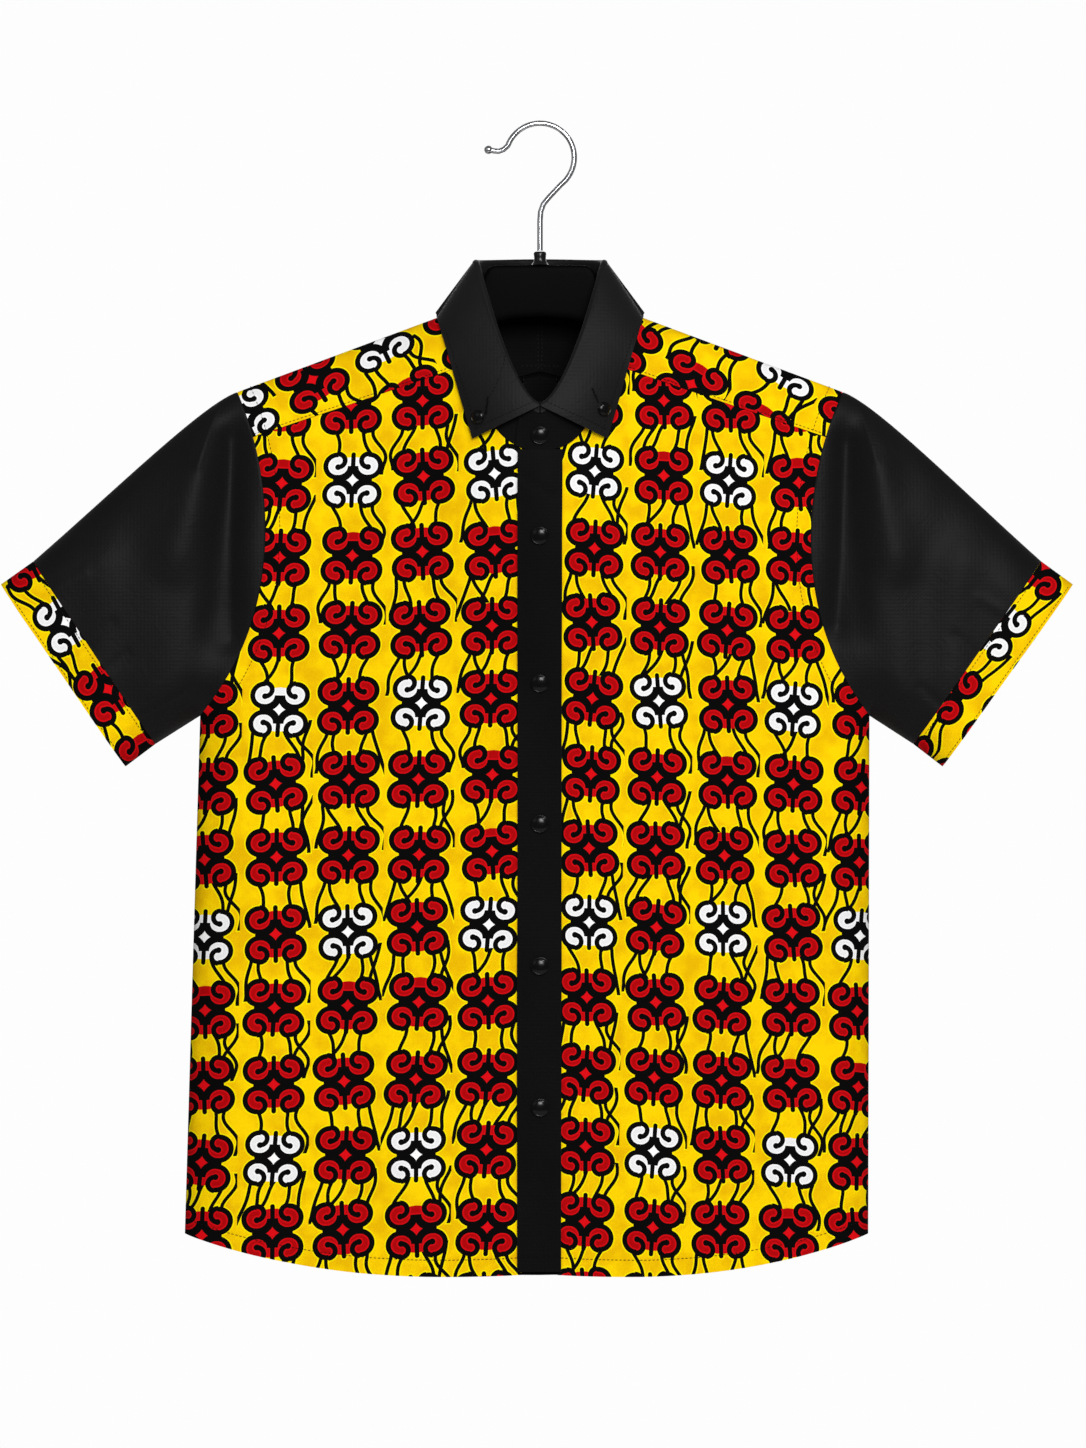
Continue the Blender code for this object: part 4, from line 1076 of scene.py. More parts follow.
# %% Back
BACK_COLUMNS = 60
PLEAT_COLUMNS = 8
inner_edge, outer_edge = panel_edges(0, to_neck=False)
pleat_ends = (PLEAT_HALF_WIDTH - MM, PLEAT_HALF_WIDTH + PLEAT_EDGE + MM)
pleat_columns = np.linspace(*pleat_ends, PLEAT_COLUMNS)
columns = np.sort(np.append(dense_outside(BACK_COLUMNS), pleat_columns / UNDERARM[0]))
half = panel_grid(inner_edge, outer_edge, columns, BACK)
back_grid = np.concatenate([mirrored(half)[:, :0:-1], half], axis=1)
# The back's inside faces take the darker copy of the cotton: painted shade inside the neck.
cloth("back", back_grid, BACK, CLOTH, black_cotton, "black_cotton", inside=black_inside_painted_shade)

# %% Yokes and their lining
YOKE_FRONT_ROWS = 26
YOKE_NECK_ROWS = 34
YOKE_CENTRE_ROWS = 10
YOKE_COLUMNS = 60
YOKE_PRINT_COLUMNS = ("first_column", "x", "z", "turn", "pitch")
YOKE_PRINTS = {
    "right": (40.5, -125.5, -167.8, 30.0, 60.2),
    "left": (60.5, 196.3, -188.5, -33.0, 59.8),
}
YOKE_ROW_PITCH = 54 * MM
SEAM_ALLOWANCE = 3 * MM


def yoke_grid():
    """Half of the yoke, from its front seam over the shoulder ridge to its back seam."""
    yoke_share = (1 - math.cos(math.pi * YOKE_STEP / ARMHOLE_STEPS)) / 2
    front_share = np.linspace(1, 0, YOKE_FRONT_ROWS + 1)
    neck = [neck_seam(math.pi / 2 + (YOKE_NECK_ANGLE - math.pi / 2) * front_share**1.5)]
    sleeve = [bezier(ARMHOLE_CURVE, yoke_share * front_share**2)]
    back_rows = YOKE_NECK_ROWS + YOKE_CENTRE_ROWS
    back_share = np.linspace(0, 1, back_rows + 1)[1:]
    # The two halves stay a gap apart at the centre back.
    last_angle = math.pi - math.asin(GAP / 2 / NECK_HALF_WIDTH)
    neck.append(neck_seam(np.linspace(math.pi / 2, last_angle, YOKE_NECK_ROWS + 1)[1:]))
    down = np.linspace(0, 1, YOKE_CENTRE_ROWS + 1)[1:]
    neck.append(between((GAP / 2, NECK_BACK_Z), (GAP / 2, YOKE_BACK_Z), down))
    sleeve.append(bezier(ARMHOLE_CURVE, yoke_share * back_share**2))
    neck, sleeve = np.vstack(neck), np.vstack(sleeve)
    across = np.linspace(0, 1, YOKE_COLUMNS + 1)[None, :, None]
    faces = [FRONT] * (YOKE_FRONT_ROWS + 1) + [BACK] * back_rows
    return neck[:, None, :] * (1 - across) + sleeve[:, None, :] * across, faces


def yoke_print(grid, faces, side):
    """Pattern cells on the yoke. Its back is first unfolded over the shoulder ridge."""
    place = dict(zip(YOKE_PRINT_COLUMNS, YOKE_PRINTS[side]))
    run = np.array(SHOULDER_TIP) - np.array(SHOULDER_NECK)
    run /= np.linalg.norm(run)
    under = np.array([run[1], -run[0]])
    offset = np.abs(grid) * (1, -1) - np.array(SHOULDER_NECK)
    below = offset @ under * np.where(np.array(faces)[:, None] == FRONT, 1, -1)
    flat = SHOULDER_NECK + (offset @ run)[..., None] * run + below[..., None] * under
    flat[..., 0] *= 1 if side == "left" else -1
    turn = math.radians(place["turn"])
    across = (math.cos(turn), math.sin(turn))
    down = (math.sin(turn), -math.cos(turn))
    off = flat - np.array([place["x"], place["z"]]) * MM
    u = off @ across / (place["pitch"] * MM) + place["first_column"]
    return np.stack([u, off @ down / YOKE_ROW_PITCH + 1.5], axis=-1)


grid, faces = yoke_grid()
# The seam at the centre back is closed.
grid[np.abs(grid[..., 0]) < GAP, 0] = 0
for side, half in (("left", grid), ("right", mirrored(grid))):
    cells = yoke_print(half, faces, side)
    finish = (printed_cotton, "printed_cotton")
    cloth("yoke_" + side, half, faces, CLOTH, *finish, print_uv=cells)
    # The lining's edges run on behind the seams of the yoke.
    under = half.copy()
    under[[0, -1], :, 1] -= SEAM_ALLOWANCE
    under[np.abs(under[..., 0]) < GAP, 0] = -GAP if side == "left" else GAP
    more = {"lift": -(CLOTH + GAP), "rests_on": ["hanger"]}
    # The lining is a real piece; its darker copy of the cotton is painted shade.
    cloth("yoke_lining_" + side, under, faces, LINING, black_inside_painted_shade, "black_cotton", **more)

# %% [markdown]
# ## Sleeves and cuffs
# Each sleeve is one tube that lies nearly flat, with a deep fold beside the armhole where the
# arm would lift it. The cuff is a band of the printed cotton, cut along its length.

# %% Sleeves and cuffs
SLEEVE_ROWS = 100
CUFF_ROWS = 14
TUCK = 1.5 * MM


def around(front_edge):
    """A tube's ring: down the front from the top edge and up the back."""
    return np.concatenate([front_edge, front_edge[-2:0:-1]], axis=0)


def sleeve_grids():
    """The sleeve and its cuff, a row for each step round the arm."""
    steps = np.arange(ARMHOLE_STEPS + 1)
    share = (1 - np.cos(math.pi * steps / ARMHOLE_STEPS)) / 2
    start = armhole(steps)
    end = between(CUFF_SEAM_TOP, CUFF_SEAM_FOOT, share)
    mouth = between(CUFF_TOP, CUFF_FOOT, share)
    length = np.linalg.norm(end - start, axis=1)
    rows = []
    for along in np.linspace(0, 1, SLEEVE_ROWS + 1):
        straight = start * (1 - along) + end * along
        top = bezier(SLEEVE_TOP_CURVE, along)
        bend = top - between(SHOULDER_TIP, CUFF_SEAM_TOP, along)
        row = straight + bend * (1 - share)[:, None] ** 2
        if along == 0:
            row = row + (end - start) * (1.2 * GAP / length)[:, None]
        rows.append(row)
    half_gap = (mouth - end) * (GAP / 2 / np.linalg.norm(mouth - end, axis=1))[:, None]
    rows[-1] = rows[-1] - half_gap
    seam = end + half_gap
    cuff = [seam * (1 - s) + mouth * s for s in np.linspace(0, 1, CUFF_ROWS + 1)]
    faces = [FRONT] * (ARMHOLE_STEPS + 1) + [BACK] * (ARMHOLE_STEPS - 1)
    return around(np.stack(rows, axis=1)), around(np.stack(cuff, axis=1)), faces


CUFF_PRINT_COLUMNS = ("column", "along", "pitch", "out", "lean", "out_pitch")
CUFF_PRINTS = {
    "right": (80.5, 54.0, 61.5, 2.3, -0.035, 54.0),
    "left": (100.5, 62.5, 62.0, 4.0, 0.055, 50.0),
}


def cuff_print(grid, side):
    """Pattern cells round the cuff. The figures stand along it, with their bars round the arm."""
    place = dict(zip(CUFF_PRINT_COLUMNS, CUFF_PRINTS[side]))
    step = np.linalg.norm(np.diff(grid[:, 0], axis=0), axis=1)
    along = np.concatenate([[0], np.cumsum(step)])[:, None] / MM
    out = np.linalg.norm(grid - grid[:, :1], axis=2) / MM
    u = (out - place["out"] + place["lean"] * along) / place["out_pitch"] + place["column"]
    v = (along - place["along"]) / place["pitch"] + 1.5
    return np.stack([u, v + 0 * out], axis=-1)


sleeve, cuff, faces = sleeve_grids()
# The sleeve's first row runs on under the body's edge, as its seam allowance does.
away = sleeve[:, 1] - sleeve[:, 0]
sleeve[:, 0] -= away / np.linalg.norm(away, axis=1)[:, None] * TUCK
tucked = np.zeros((*sleeve.shape[:2], 1))
tucked[:, 0] = -(CLOTH + GAP)
for side, flip in (("left", np.array), ("right", mirrored)):
    finish = (black_cotton, "black_cotton")
    cloth("sleeve_" + side, flip(sleeve), faces, CLOTH, *finish, lift=tucked, ring=True)
    cells = cuff_print(cuff, side)
    finish = (printed_cotton, "printed_cotton")
    cloth("cuff_" + side, flip(cuff), faces, CUFF_CLOTH, *finish, ring=True, print_uv=cells)

# %% [markdown]
# ## Plackets and collar
# The buttonhole band lies over the button band. The collar band stands round the neck with its
# ends lapped, and the leaf folds down over it to two buttoned points.

# %% Plackets
placket_levels = np.linspace(HEM_CENTRE_Z, NECK_FRONT_Z - GAP, 160)
PLACKET_COLUMNS = ("node", "half_width", "lift", "thickness")
for row in (
    ("placket", PLACKET_HALF_WIDTH, GAP + PLACKET_CLOTH, PLACKET_CLOTH),
    ("placket_under", FRONT_EDGE - GAP, 0.0, CLOTH),
):
    band = dict(zip(PLACKET_COLUMNS, row))
    x = np.linspace(-band["half_width"], band["half_width"], 13)
    grid = np.stack(np.meshgrid(x, placket_levels), axis=-1)
    # The bands take the darker copy of the black cotton: painted shade.
    finish = (black_bands_painted_shade, "black_cotton")
    cloth(band["node"], grid, FRONT, band["thickness"], *finish, lift=band["lift"])

# %% Collar lines
LAP = math.asin(STAND_OVERLAP / NECK_HALF_WIDTH)
COLLAR_ANGLES = np.linspace(LEAF_START, 2 * math.pi - LEAF_START, 241)
FALL_STEPS = 26
FOLD_STEPS = 10


def neck_ring(angle):
    """Points of the neck seam all round, on the form. The angle may pass a full turn."""
    flat = neck_seam(angle)
    faces = np.where(np.cos(angle) >= 0, FRONT, BACK)
    points = np.empty((len(flat), 3))
    for i, face in enumerate(faces):
        y = face * depth(flat[i : i + 1], face)[0]
        points[i] = (flat[i, 0], y, flat[i, 1])
    return points


def fold_ring(angle):
    """The collar's fold line all round, and the level way out from it."""
    front = np.cos(angle) >= 0
    reach = np.where(front, FOLD_FRONT_Y, FOLD_BACK_Y)
    turn = np.abs(np.sin(angle))
    z_front = FOLD_FRONT_Z + (FOLD_SIDE_Z - FOLD_FRONT_Z) * turn**FOLD_ROUNDNESS
    z_back = FOLD_SIDE_Z + (FOLD_BACK_Z - FOLD_SIDE_Z) * np.cos(angle) ** 2
    z = np.where(front, z_front, z_back)
    points = np.column_stack([FOLD_HALF_WIDTH * np.sin(angle), -reach * np.cos(angle), z])
    way = np.column_stack(
        [np.sin(angle) / FOLD_HALF_WIDTH, -np.cos(angle) / reach, np.zeros(len(z))]
    )
    return points, way / np.linalg.norm(way, axis=1)[:, None]


def stand_ends(angle):
    """Foot and top of the stand's middle surface at each angle."""
    foot, (fold, way) = neck_ring(angle), fold_ring(angle)
    up = fold - foot
    length = np.linalg.norm(up, axis=1)[:, None]
    height = np.minimum(STAND_HEIGHT, length - FOLD_RADIUS - LEAF_LEG)
    up = up / length
    centred = foot - way * (STAND_CLOTH / 2 + GAP)
    return centred + up * 2.5 * GAP, centred + up * height, up, way


def lap_lift(angle):
    """How far the band stands out, to lap over its other end at the front."""
    return (STAND_CLOTH + GAP) * (1 - smooth((angle - LAP) / math.radians(25)))


def leaf_edge(angle):
    """The leaf's outer edge: points at the front, level at the back."""
    turn = np.where(angle > math.pi, 2 * math.pi - angle, angle)
    side = np.where(angle > math.pi, -1, 1)
    quarter = math.pi / 2
    front = between(LEAF_TIP, LEAF_SIDE, np.clip(turn / quarter, 0, 1))
    ridge = np.interp(
        front[:, 0], (SHOULDER_NECK[0], SHOULDER_TIP[0]), (SHOULDER_NECK[1], SHOULDER_TIP[1])
    )
    on_form = (depth(front, FRONT) + LEAF_REST) * (front[:, 1] < ridge)
    x = np.where(turn < quarter, front[:, 0], LEAF_SIDE[0] * np.sin(turn))
    y = np.where(turn < quarter, -on_form, LEAF_BACK_Y * np.abs(np.cos(turn)))
    back_z = LEAF_SIDE[1] + (LEAF_BACK_Z - LEAF_SIDE[1]) * np.cos(turn) ** 2
    z = np.where(turn < quarter, front[:, 1], back_z)
    return np.column_stack([x * side, y, z])


def leaf_middle(angle):
    """The leaf's middle surface: up from the stand, over the fold and down to its edge."""
    _, stand_top, up, _ = stand_ends(angle)
    fold, way = fold_ring(angle)
    edge = leaf_edge(angle)
    lift = np.maximum(lap_lift(angle), lap_lift(2 * math.pi - angle))
    over = lift[:, None] * (0, -1, 0)
    crown = fold - (0, 0, FOLD_RADIUS) + over
    columns = [stand_top + up * 2 * GAP + over]
    for turn in np.linspace(math.pi, 0, FOLD_STEPS + 1):
        lift = np.array([0, 0, FOLD_RADIUS * math.sin(turn)])
        columns.append(crown + way * FOLD_RADIUS * math.cos(turn) + lift)
    start = columns[-1]
    front = np.clip(np.cos(angle), 0, 1)[:, None]
    bulge = LEAF_BULGE_BACK + (LEAF_BULGE_FRONT - LEAF_BULGE_BACK) * front
    for share in np.linspace(0, 1, FALL_STEPS + 1)[1:]:
        point = start * (1 - share) + edge * share
        columns.append(point + way * bulge * 4 * share * (1 - share))
    return np.stack(columns, axis=1)


def grid_normals(grid):
    """Unit normals of a grid of points, from its neighbours."""
    down = np.gradient(grid, axis=1)
    along = np.gradient(grid, axis=0)
    normals = np.cross(along, down)
    return normals / np.linalg.norm(normals, axis=2)[:, :, None]


# %% Collar band
before = np.linspace(-LAP, -LEAF_START, 24)
after = np.linspace(2 * math.pi, 2 * math.pi + LAP / 2, 14)[1:]
stand_angles = np.concatenate([before, COLLAR_ANGLES, after])
foot, top, _, way = stand_ends(stand_angles)
over = lap_lift(stand_angles)[:, None] * (0, -1, 0)
shares = np.linspace(0, 1, 13)
# The lapped end is rounded at its top corner.
round_off = np.clip((stand_angles + LAP) / 0.12, 0, 1)
corner = 1 - 0.35 * (1 - np.sqrt(1 - (1 - round_off) ** 2))
middle = np.stack([foot + (top - foot) * (s * corner)[:, None] + over for s in shares], axis=1)
# The band's foot goes a little further down, into its seam.
middle[:, 0] -= (top - foot) * 0.04
half = way[:, None, :] * STAND_CLOTH / 2
mesh = wall_mesh("collar_stand", middle + half, middle - half, False)
# The stand takes the darker copy too: painted shade under the leaf.
stand = piece("cloth_collar_stand", mesh, black_bands_painted_shade, ("collar_stand",))

# %% Collar leaf
leaf = leaf_middle(COLLAR_ANGLES)
leaf_normals = grid_normals(leaf)
move = leaf_normals * LEAF_CLOTH / 2
mesh = wall_mesh("collar_leaf", leaf + move, leaf - move, False)
# The leaf takes the lighter copy of the black cotton: painted light.
leaf_piece = piece("cloth_collar_leaf", mesh, black_cotton_painted_light, ("collar_leaf",))

# %% [markdown]
# ## Buttons
# Each button is a turned dome inside a raised rim. A profile is spun round its axis, then
# turned to face out of the cloth behind it.

# %% Turned buttons
BUTTON_PROFILE = (
    (0.00, 0.96), (0.15, 0.95), (0.30, 0.92), (0.45, 0.87), (0.58, 0.80), (0.70, 0.71),
    (0.80, 0.61), (0.86, 0.52), (0.885, 0.47), (0.905, 0.48), (0.93, 0.53), (0.96, 0.53),
    (0.99, 0.47), (1.00, 0.40), (0.97, 0.28), (0.85, 0.16), (0.60, 0.05), (0.50, 0.00),
    (0.00, 0.00),
)


def turned_mesh(name, profile, steps):
    """A closed shape spun from (radius, height) points."""
    shaper = bmesh.new()
    points = [shaper.verts.new((r, 0, h)) for r, h in profile]
    edges = [shaper.edges.new(pair) for pair in zip(points[:-1], points[1:])]
    bmesh.ops.spin(
        shaper,
        geom=points + edges,
        axis=(0, 0, 1),
        cent=(0, 0, 0),
        angle=2 * math.pi,
        steps=steps,
    )
    bmesh.ops.remove_doubles(shaper, verts=shaper.verts, dist=0.01 * MM)
    bmesh.ops.recalc_face_normals(shaper, faces=shaper.faces)
    mesh = bpy.data.meshes.new(name)
    shaper.to_mesh(mesh)
    shaper.free()
    return mesh


def button(node, radius, place, way):
    """A button with its back one gap over a point, facing along way."""
    profile = [(r * radius, h * BUTTON_THICKNESS) for r, h in BUTTON_PROFILE]
    mesh = turned_mesh(node, profile, 64)
    turn = Vector(way).to_track_quat("Z", "Y").to_matrix().to_4x4()
    mesh.transform(turn)
    mesh.transform(turn.Translation(Vector(place) + Vector(way) * GAP))
    return piece("resin_" + node, mesh, resin, (node,), 60)


band = GAP + PLACKET_CLOTH
for number, z in enumerate(PLACKET_BUTTONS_Z, 1):
    place, normal = lay(np.array([[[0.0, z]]]), FRONT, band)
    button(f"button_{number}", BUTTON_RADIUS, place[0, 0], normal[0, 0])

# %% Collar buttons
TIP_BUTTONS = (
    ("button_tip_left", math.radians(17), 0.78),
    ("button_tip_right", 2 * math.pi - math.radians(12), 0.80),
)
foot, top, up, way = stand_ends(np.array([0.0]))
share = (STAND_BUTTON_Z - foot[0, 2]) / (top[0, 2] - foot[0, 2])
face = foot[0] + (top[0] - foot[0]) * share + way[0] * (1.5 * STAND_CLOTH + GAP)
tilt = np.cross(up[0], np.cross(way[0], up[0]))
button("button_stand", BUTTON_RADIUS, face, tilt / np.linalg.norm(tilt))
for node, angle, share in TIP_BUTTONS:
    near = leaf_middle(np.array([angle - 0.02, angle, angle + 0.02]))[:, FOLD_STEPS + 1 :]
    spot = share * FALL_STEPS
    low = int(spot)
    point = near[1, low] * (1 - spot + low) + near[1, low + 1] * (spot - low)
    normal = np.cross(near[2, low] - near[0, low], near[1, low + 1] - near[1, low])
    normal *= -np.sign(normal[1]) / np.linalg.norm(normal)
    button(node, TIP_BUTTON_RADIUS, point + normal * (LEAF_CLOTH / 2 + 0.7 * GAP), normal)
print("buttons:", len(PLACKET_BUTTONS_Z) + 1 + len(TIP_BUTTONS))

# %% [markdown]
# ## Stitches
# Lines of lockstitch hold the hems, the yoke, the armholes and the collar's edge. Each line is
# a run of points on the cloth. A Geometry Nodes tree sets one small thread bead every few
# millimetres along all the runs, turned to follow them.

# %% Runs of points on the cloth
def on_cloth(points, face, lift=0.25 * MM):
    """A run of front-view points, laid just over the cloth."""
    laid, _ = lay(np.array(points)[:, None], np.full(len(points), face), lift)
    return hang(laid[:, 0])


def inside_armhole(first, last, inset):
    """Points beside the armhole seam, on the body's side."""
    step = np.linspace(first, last, RUN_POINTS)
    run = armhole(step + 0.05) - armhole(step - 0.05)
    run /= np.linalg.norm(run, axis=1)[:, None]
    return armhole(step) + np.column_stack([run[:, 1], -run[:, 0]]) * inset


HEM_STITCHES_IN = 12 * MM
ARMHOLE_STITCHES_IN = 11 * MM
SEAM_STITCHES_IN = 2 * MM
RUN_POINTS = 60
runs = []
yoke_seam = np.array([neck_seam(YOKE_NECK_ANGLE), armhole(YOKE_STEP)])
hem_inset = np.array([0, HEM_STITCHES_IN])
across_front = np.linspace(PLACKET_HALF_WIDTH + MM, UNDERARM[0] - 3 * MM, RUN_POINTS)
across_back = np.linspace(0, UNDERARM[0] - 3 * MM, RUN_POINTS)
for flip in (np.array, mirrored):
    for face, across in ((FRONT, across_front), (BACK, across_back)):
        hem = bezier(HEM_CURVES[face], np.linspace(0, 1, HEM_POINTS))
        z = np.interp(across / HEM_CORNER[0], hem[:, 0], hem[:, 1])
        runs.append(on_cloth(flip(np.column_stack([across, z]) + hem_inset), face))
        arm = inside_armhole(YOKE_STEP + 1, ARMHOLE_STEPS - 6, ARMHOLE_STITCHES_IN)
        runs.append(on_cloth(flip(arm), face))
    seam = between(*yoke_seam, np.linspace(0.01, 0.99, RUN_POINTS)) + (0, SEAM_STITCHES_IN)
    runs.append(on_cloth(flip(seam), FRONT))
    shares = np.linspace(0, 0.99, RUN_POINTS)
    back_seam = between((2 * MM, YOKE_BACK_Z), armhole(YOKE_STEP), shares)
    runs.append(on_cloth(flip(back_seam + (0, SEAM_STITCHES_IN)), BACK))
    arm = inside_armhole(4, YOKE_STEP - 1, ARMHOLE_STITCHES_IN)
    runs.append(on_cloth(flip(arm), FRONT))
    for share in (0.09, 0.93):
        for face in (FRONT, BACK):
            top = between(CUFF_SEAM_TOP, CUFF_TOP, share)
            foot = between(CUFF_SEAM_FOOT, CUFF_FOOT, share)
            band = between(top, foot, np.linspace(0.03, 0.97, 50))
            runs.append(on_cloth(flip(band), face, GAP))
hem_x = np.linspace(-15, 15, 8) * MM
hem_line = np.column_stack([hem_x, np.full(8, HEM_CENTRE_Z + HEM_STITCHES_IN)])
runs.append(on_cloth(hem_line, FRONT, GAP + PLACKET_CLOTH + 0.2 * MM))
# Inside the neck show the yoke lining's seams and the edges of the back's pleat.
inside_yoke = -(CLOTH + LINING + 2 * GAP + 0.1 * MM)
inside_back = -(CLOTH + GAP)
levels = np.linspace(YOKE_BACK_Z + 38 * MM, YOKE_BACK_Z - MM, 20)
inside_runs = []
for x in (-1.5, 1.5):
    seam = np.column_stack([np.full(20, x * MM), levels])
    inside_runs.append(on_cloth(seam, BACK, inside_yoke))
for x in (-PLEAT_HALF_WIDTH, PLEAT_HALF_WIDTH):
    edge = [(x, YOKE_BACK_Z - 3 * MM), (x, YOKE_BACK_Z - 60 * MM)]
    inside_runs.append(on_cloth(edge, BACK, inside_back))
seam = np.column_stack([np.linspace(-14, 14, 12) * MM, np.full(12, YOKE_BACK_Z + MM)])
inside_runs.append(on_cloth(seam, BACK, inside_yoke))
print("runs of stitches:", len(runs) + len(inside_runs))

# %% Runs on the collar leaf
outer_side = np.sign((leaf_normals[:, -1:] * leaf[:, -1:]).sum(axis=2, keepdims=True))
fall = leaf + leaf_normals * outer_side * (LEAF_CLOTH / 2 + 0.2 * MM)
fall = fall[:, FOLD_STEPS + 1 :]
LEAF_INSET = 6 * MM
LEAD_ROWS = 40


def inset_along(line, inset):
    """The point of a polyline that lies inset before its end."""
    step = np.linalg.norm(np.diff(line, axis=0), axis=1)
    from_end = np.concatenate([np.cumsum(step[::-1])[::-1], [0]])
    share = from_end[::-1]
    return np.array([np.interp(inset, share, line[::-1, i]) for i in range(3)])


edge_run = np.array([inset_along(row, LEAF_INSET) for row in fall])
tips = [fall[:, j] for j in range(fall.shape[1])]
lead_one = np.array([inset_along(column[:LEAD_ROWS][::-1], LEAF_INSET) for column in tips])
lead_two = np.array([inset_along(column[-LEAD_ROWS:], LEAF_INSET) for column in tips])
clear = np.abs(edge_run[:, 0]) > np.abs(lead_one[-4, 0])
keep = (edge_run[:, 1] > -0.02) | clear
runs.append(edge_run[keep])
runs.append(lead_one[:-2])
runs.append(lead_two[:-2])


def on_leaf(points):
    """A run of front-view points, laid on the collar leaf."""
    near = fall[fall[..., 1] < 0]
    laid = []
    for point in np.array(points) * MM:
        far = np.linalg.norm(near[:, [0, 2]] - point, axis=1)
        close = np.argsort(far)[:4]
        y = np.average(near[close, 1], weights=1 / (far[close] + 0.1 * MM))
        laid.append((point[0], y, point[1]))
    return np.array(laid)


# The buttonholes, and a pressed crease that runs up from the one on the viewer's left.
buttonholes = [
    on_leaf(np.linspace((40.5, -206.0), (45.2, -216.5), 12)),
    on_leaf(np.linspace((-40.5, -213.0), (-42.0, -226.0), 12)),
]
CREASE_ENDS = ((-27, -181), (-30, -196), (-36, -210), (-40.5, -213))
runs.append(on_leaf(bezier(CREASE_ENDS, np.linspace(0, 1, 30))))

# %% The stitch tree
def stitch_tree(finish):
    """Beads of thread along curves, with their pitch, length and thickness as inputs."""
    tree = bpy.data.node_groups.new("stitch runs", "GeometryNodeTree")
    face = tree.interface
    face.new_socket("Geometry", in_out="INPUT", socket_type="NodeSocketGeometry")
    for name, value in (("Pitch", 3.2 * MM), ("Stitch length", 2.3 * MM), ("Thread", 0.55 * MM)):
        socket = face.new_socket(name, in_out="INPUT", socket_type="NodeSocketFloat")
        socket.default_value = value
    face.new_socket("Geometry", in_out="OUTPUT", socket_type="NodeSocketGeometry")
    given = add(tree, "NodeGroupInput")
    curve = add(tree, "GeometryNodeMeshToCurve", {0: given.outputs["Geometry"]})
    points = add(
        tree,
        "GeometryNodeResampleCurve",
        {"Curve": curve.outputs[0], "Length": given.outputs["Pitch"]},
        mode="LENGTH",
    )
    tangent = add(tree, "GeometryNodeInputTangent")
    turn = add(
        tree,
        "FunctionNodeAlignRotationToVector",
        {"Vector": tangent.outputs[0]},
        axis="Z",
    )
    bead = add(tree, "GeometryNodeMeshUVSphere", {"Segments": 6, "Rings": 4, "Radius": 0.5})
    size = add(
        tree,
        "ShaderNodeCombineXYZ",
        {i: given.outputs[name] for i, name in enumerate(("Thread", "Thread", "Stitch length"))},
    )
    placed = add(
        tree,
        "GeometryNodeInstanceOnPoints",
        {
            "Points": points.outputs[0],
            "Instance": bead.outputs["Mesh"],
            "Rotation": turn.outputs[0],
            "Scale": size.outputs[0],
        },
    )
    real = add(tree, "GeometryNodeRealizeInstances", {0: placed.outputs[0]})
    dressed = add(tree, "GeometryNodeSetMaterial", {0: real.outputs[0], "Material": finish})
    add(tree, "NodeGroupOutput", {0: dressed.outputs[0]})
    return tree


def stitched(name, runs, finish, **sizes):
    """One mesh of thread beads along all the runs. Sizes are the tree's inputs."""
    mesh = bpy.data.meshes.new(name + "_runs")
    starts = np.cumsum([0] + [len(run) for run in runs])
    edges = [(i, i + 1) for a, b in zip(starts[:-1], starts[1:]) for i in range(a, b - 1)]
    mesh.from_pydata(np.vstack(runs).tolist(), edges, [])
    carrier = bpy.data.objects.new(name + "_runs", mesh)
    bpy.context.scene.collection.objects.link(carrier)
    modifier = carrier.modifiers.new("stitches", "NODES")
    tree = stitch_tree(finish)
    modifier.node_group = tree
    for socket in tree.interface.items_tree:
        key = socket.name.lower().replace(" ", "_")
        if socket.in_out == "INPUT" and key in sizes:
            modifier[socket.identifier] = sizes[key]
    carrier.update_tag()
    graph = bpy.context.evaluated_depsgraph_get()
    result = bpy.data.meshes.new_from_object(carrier.evaluated_get(graph))
    bpy.data.objects.remove(carrier)
    return result


stitches = stitched("stitches", runs, black_thread)
print("stitch faces:", len(stitches.polygons))
piece("thread_stitches", stitches, black_thread, (), 60)
# The seams inside the neck take the lighter copy of the black cotton: painted light.
cords = stitched("inside_seams", inside_runs, black_cotton_painted_light, thread=1.0 * MM)
piece("thread_inside_seams", cords, black_cotton_painted_light, (), 60)
bars = stitched(
    "buttonholes",
    buttonholes,
    black_thread,
    pitch=0.8 * MM,
    stitch_length=0.8 * MM,
    thread=2.4 * MM,
)
print("buttonhole faces:", len(bars.polygons))
piece("thread_buttonholes", bars, black_thread, (), 60)

# %% [markdown]
# ## Hanger
# The hanger is one moulding: a broad plate in the neck and an arm under each shoulder. Its
# sections are rounded boxes, blended from one to the next. The hook is one wire, swept along a
# circle and a bent neck, with a ball at its tip.

# %% Hanger body
HANGER_COLUMNS = ("x", "top", "foot", "half_thickness")
HANGER_MIDDLE = (
    (0, -108.5, -149.0, 4.0),
    (22, -108.5, -150.5, 4.0),
    (36, -108.8, -154.0, 4.0),
    (40.5, -110.8, -156.0, 4.0),
    (43, -116.0, -158.0, 4.0),
    (47, -134.0, -161.0, 4.0),
    (56, -150.0, -168.0, 4.6),
)
ARM_STEPS = 8
SECTIONS = 161
RING_POINTS = 32
HANGER_HALF_WIDTH = 206 * MM
ARM_HEIGHT = 22 * MM
ARM_HALF_THICKNESS = 4 * MM
ARM_CLEARANCE = 1.9 * MM


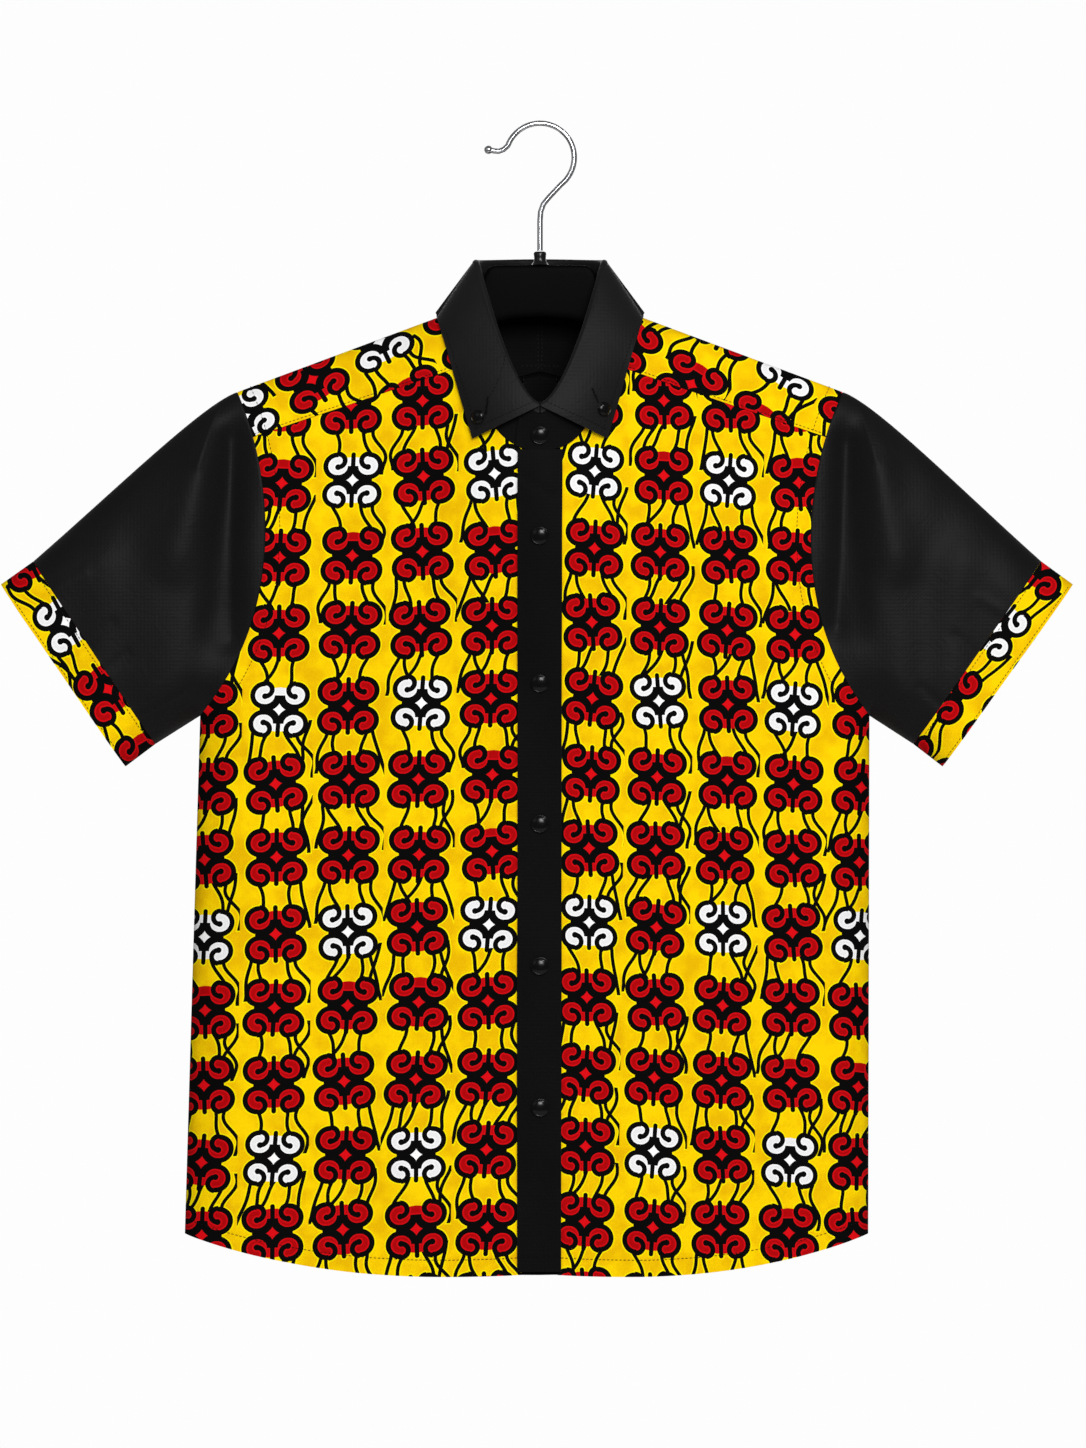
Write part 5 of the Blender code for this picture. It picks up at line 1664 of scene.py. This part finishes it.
def hanger_sections():
    """Sections of half the hanger as dictionaries, from the middle to the tip."""
    found = []
    for row in HANGER_MIDDLE:
        found.append({key: value * MM for key, value in zip(HANGER_COLUMNS, row)})
    slope = (SHOULDER_TIP[1] - NECK_SIDE_Z) / (SHOULDER_TIP[0] - NECK_HALF_WIDTH)
    start = NECK_HALF_WIDTH + 2 * MM
    for x in np.linspace(start, HANGER_HALF_WIDTH, ARM_STEPS + 1):
        ridge = NECK_SIDE_Z + slope * (x - NECK_HALF_WIDTH)
        top = ridge - (CLOTH + GAP + LINING) / math.cos(math.atan(slope)) - ARM_CLEARANCE
        to_tip = (HANGER_HALF_WIDTH - x) / (HANGER_HALF_WIDTH - start)
        height = ARM_HEIGHT * (0.55 + 0.45 * to_tip)
        found.append(
            {"x": x, "top": top, "foot": top - height, "half_thickness": ARM_HALF_THICKNESS}
        )
    return found


coarse = hanger_sections()
coarse_x = np.array([section["x"] for section in coarse])
rows = []
for x in np.linspace(-HANGER_HALF_WIDTH, HANGER_HALF_WIDTH, SECTIONS):
    top, foot, half = (
        np.interp(abs(x), coarse_x, [section[key] for section in coarse])
        for key in ("top", "foot", "half_thickness")
    )
    round_turn = np.linspace(0, 2 * math.pi, RING_POINTS, endpoint=False)
    c, s = np.cos(round_turn), np.sin(round_turn)
    y = half * np.sign(c) * np.abs(c) ** 0.5
    z = (top + foot) / 2 + (top - foot) / 2 * np.sign(s) * np.abs(s) ** 0.25
    rows.append(np.column_stack([np.full(RING_POINTS, x), y, z]))
loft = np.stack(rows)
shaper = bmesh.new()
loops = [[shaper.verts.new(point) for point in ring] for ring in loft.tolist()]
for first, second in zip(loops[:-1], loops[1:]):
    for i in range(RING_POINTS):
        j = (i + 1) % RING_POINTS
        shaper.faces.new((first[i], first[j], second[j], second[i]))
shaper.faces.new(loops[0])
shaper.faces.new(loops[-1])
bmesh.ops.recalc_face_normals(shaper, faces=shaper.faces)
mesh = bpy.data.meshes.new("hanger")
shaper.to_mesh(mesh)
shaper.free()
piece("moulded_hanger", mesh, plastic, ("hanger",))
print("sections of the hanger:", len(rows))

# %% Boss and hook
BOSS_PROFILE = (
    (0, -98), (3.9, -98), (4.6, -98.5), (5.0, -99.6), (4.7, -102), (4.6, -104),
    (5.0, -106), (6.0, -107.5), (6.8, -108.2), (0, -108.2),
)
boss = turned_mesh("hanger_boss", [(r * MM, h * MM) for r, h in BOSS_PROFILE], 40)
piece("moulded_boss", boss, bright_plastic, ("hanger_boss",))

WIRE_RADIUS = 2.2 * MM
BEND_RADIUS = 26.7 * MM
HOOK_TAIL = (
    (-28.6, -18.4, 1),
    (-32.2, -19.7, 1),
    (-36.0, -19.4, 1),
    (-37.4, -19.1, 1),
    (-38.4, -18.9, 1.5),
    (-40.4, -18.5, 1.55),
    (-42.4, -18.1, 0.9),
)
HOOK_NECK = ((6.6, -56.0), (2.6, -61.0), (0.5, -67.0), (0.0, -74.0), (0.0, -97.5))
HOOK_BALL = (-40.2, -18.5, 3.4)
path = [(x * MM, z * MM) for x, z, _ in reversed(HOOK_TAIL)]
BEND_FROM, BEND_TO, BEND_POINTS = 160, -52, 60
for angle in np.radians(np.linspace(BEND_FROM, BEND_TO, BEND_POINTS)):
    height = WIRE_RADIUS - BEND_RADIUS + BEND_RADIUS * math.sin(angle)
    path.append((BEND_RADIUS * math.cos(angle), height))
path += [(x * MM, z * MM) for x, z in HOOK_NECK]
wire = bpy.data.curves.new("wire", "CURVE")
wire.dimensions = "3D"
wire.bevel_depth = WIRE_RADIUS
wire.bevel_resolution = 7
wire.use_fill_caps = True
spline = wire.splines.new("POLY")
spline.points.add(len(path) - 1)
for point, (x, z) in zip(spline.points, path):
    point.co = (x, 0, z, 1)
carrier = bpy.data.objects.new("wire", wire)
bpy.context.scene.collection.objects.link(carrier)
graph = bpy.context.evaluated_depsgraph_get()
mesh = bpy.data.meshes.new_from_object(carrier.evaluated_get(graph))
bpy.data.objects.remove(carrier)
shaper = bmesh.new()
shaper.from_mesh(mesh)
ball_x, ball_z, ball_radius = (value * MM for value in HOOK_BALL)
made = bmesh.ops.create_uvsphere(shaper, u_segments=32, v_segments=20, radius=ball_radius)
bmesh.ops.translate(shaper, verts=made["verts"], vec=(ball_x, 0, ball_z))
bmesh.ops.remove_doubles(shaper, verts=shaper.verts, dist=0.005 * MM)
bmesh.ops.recalc_face_normals(shaper, faces=shaper.faces)
shaper.to_mesh(mesh)
shaper.free()
piece("wire_hook", mesh, chrome, ("hanger_hook",), 60)
print("points along the hook:", len(path))
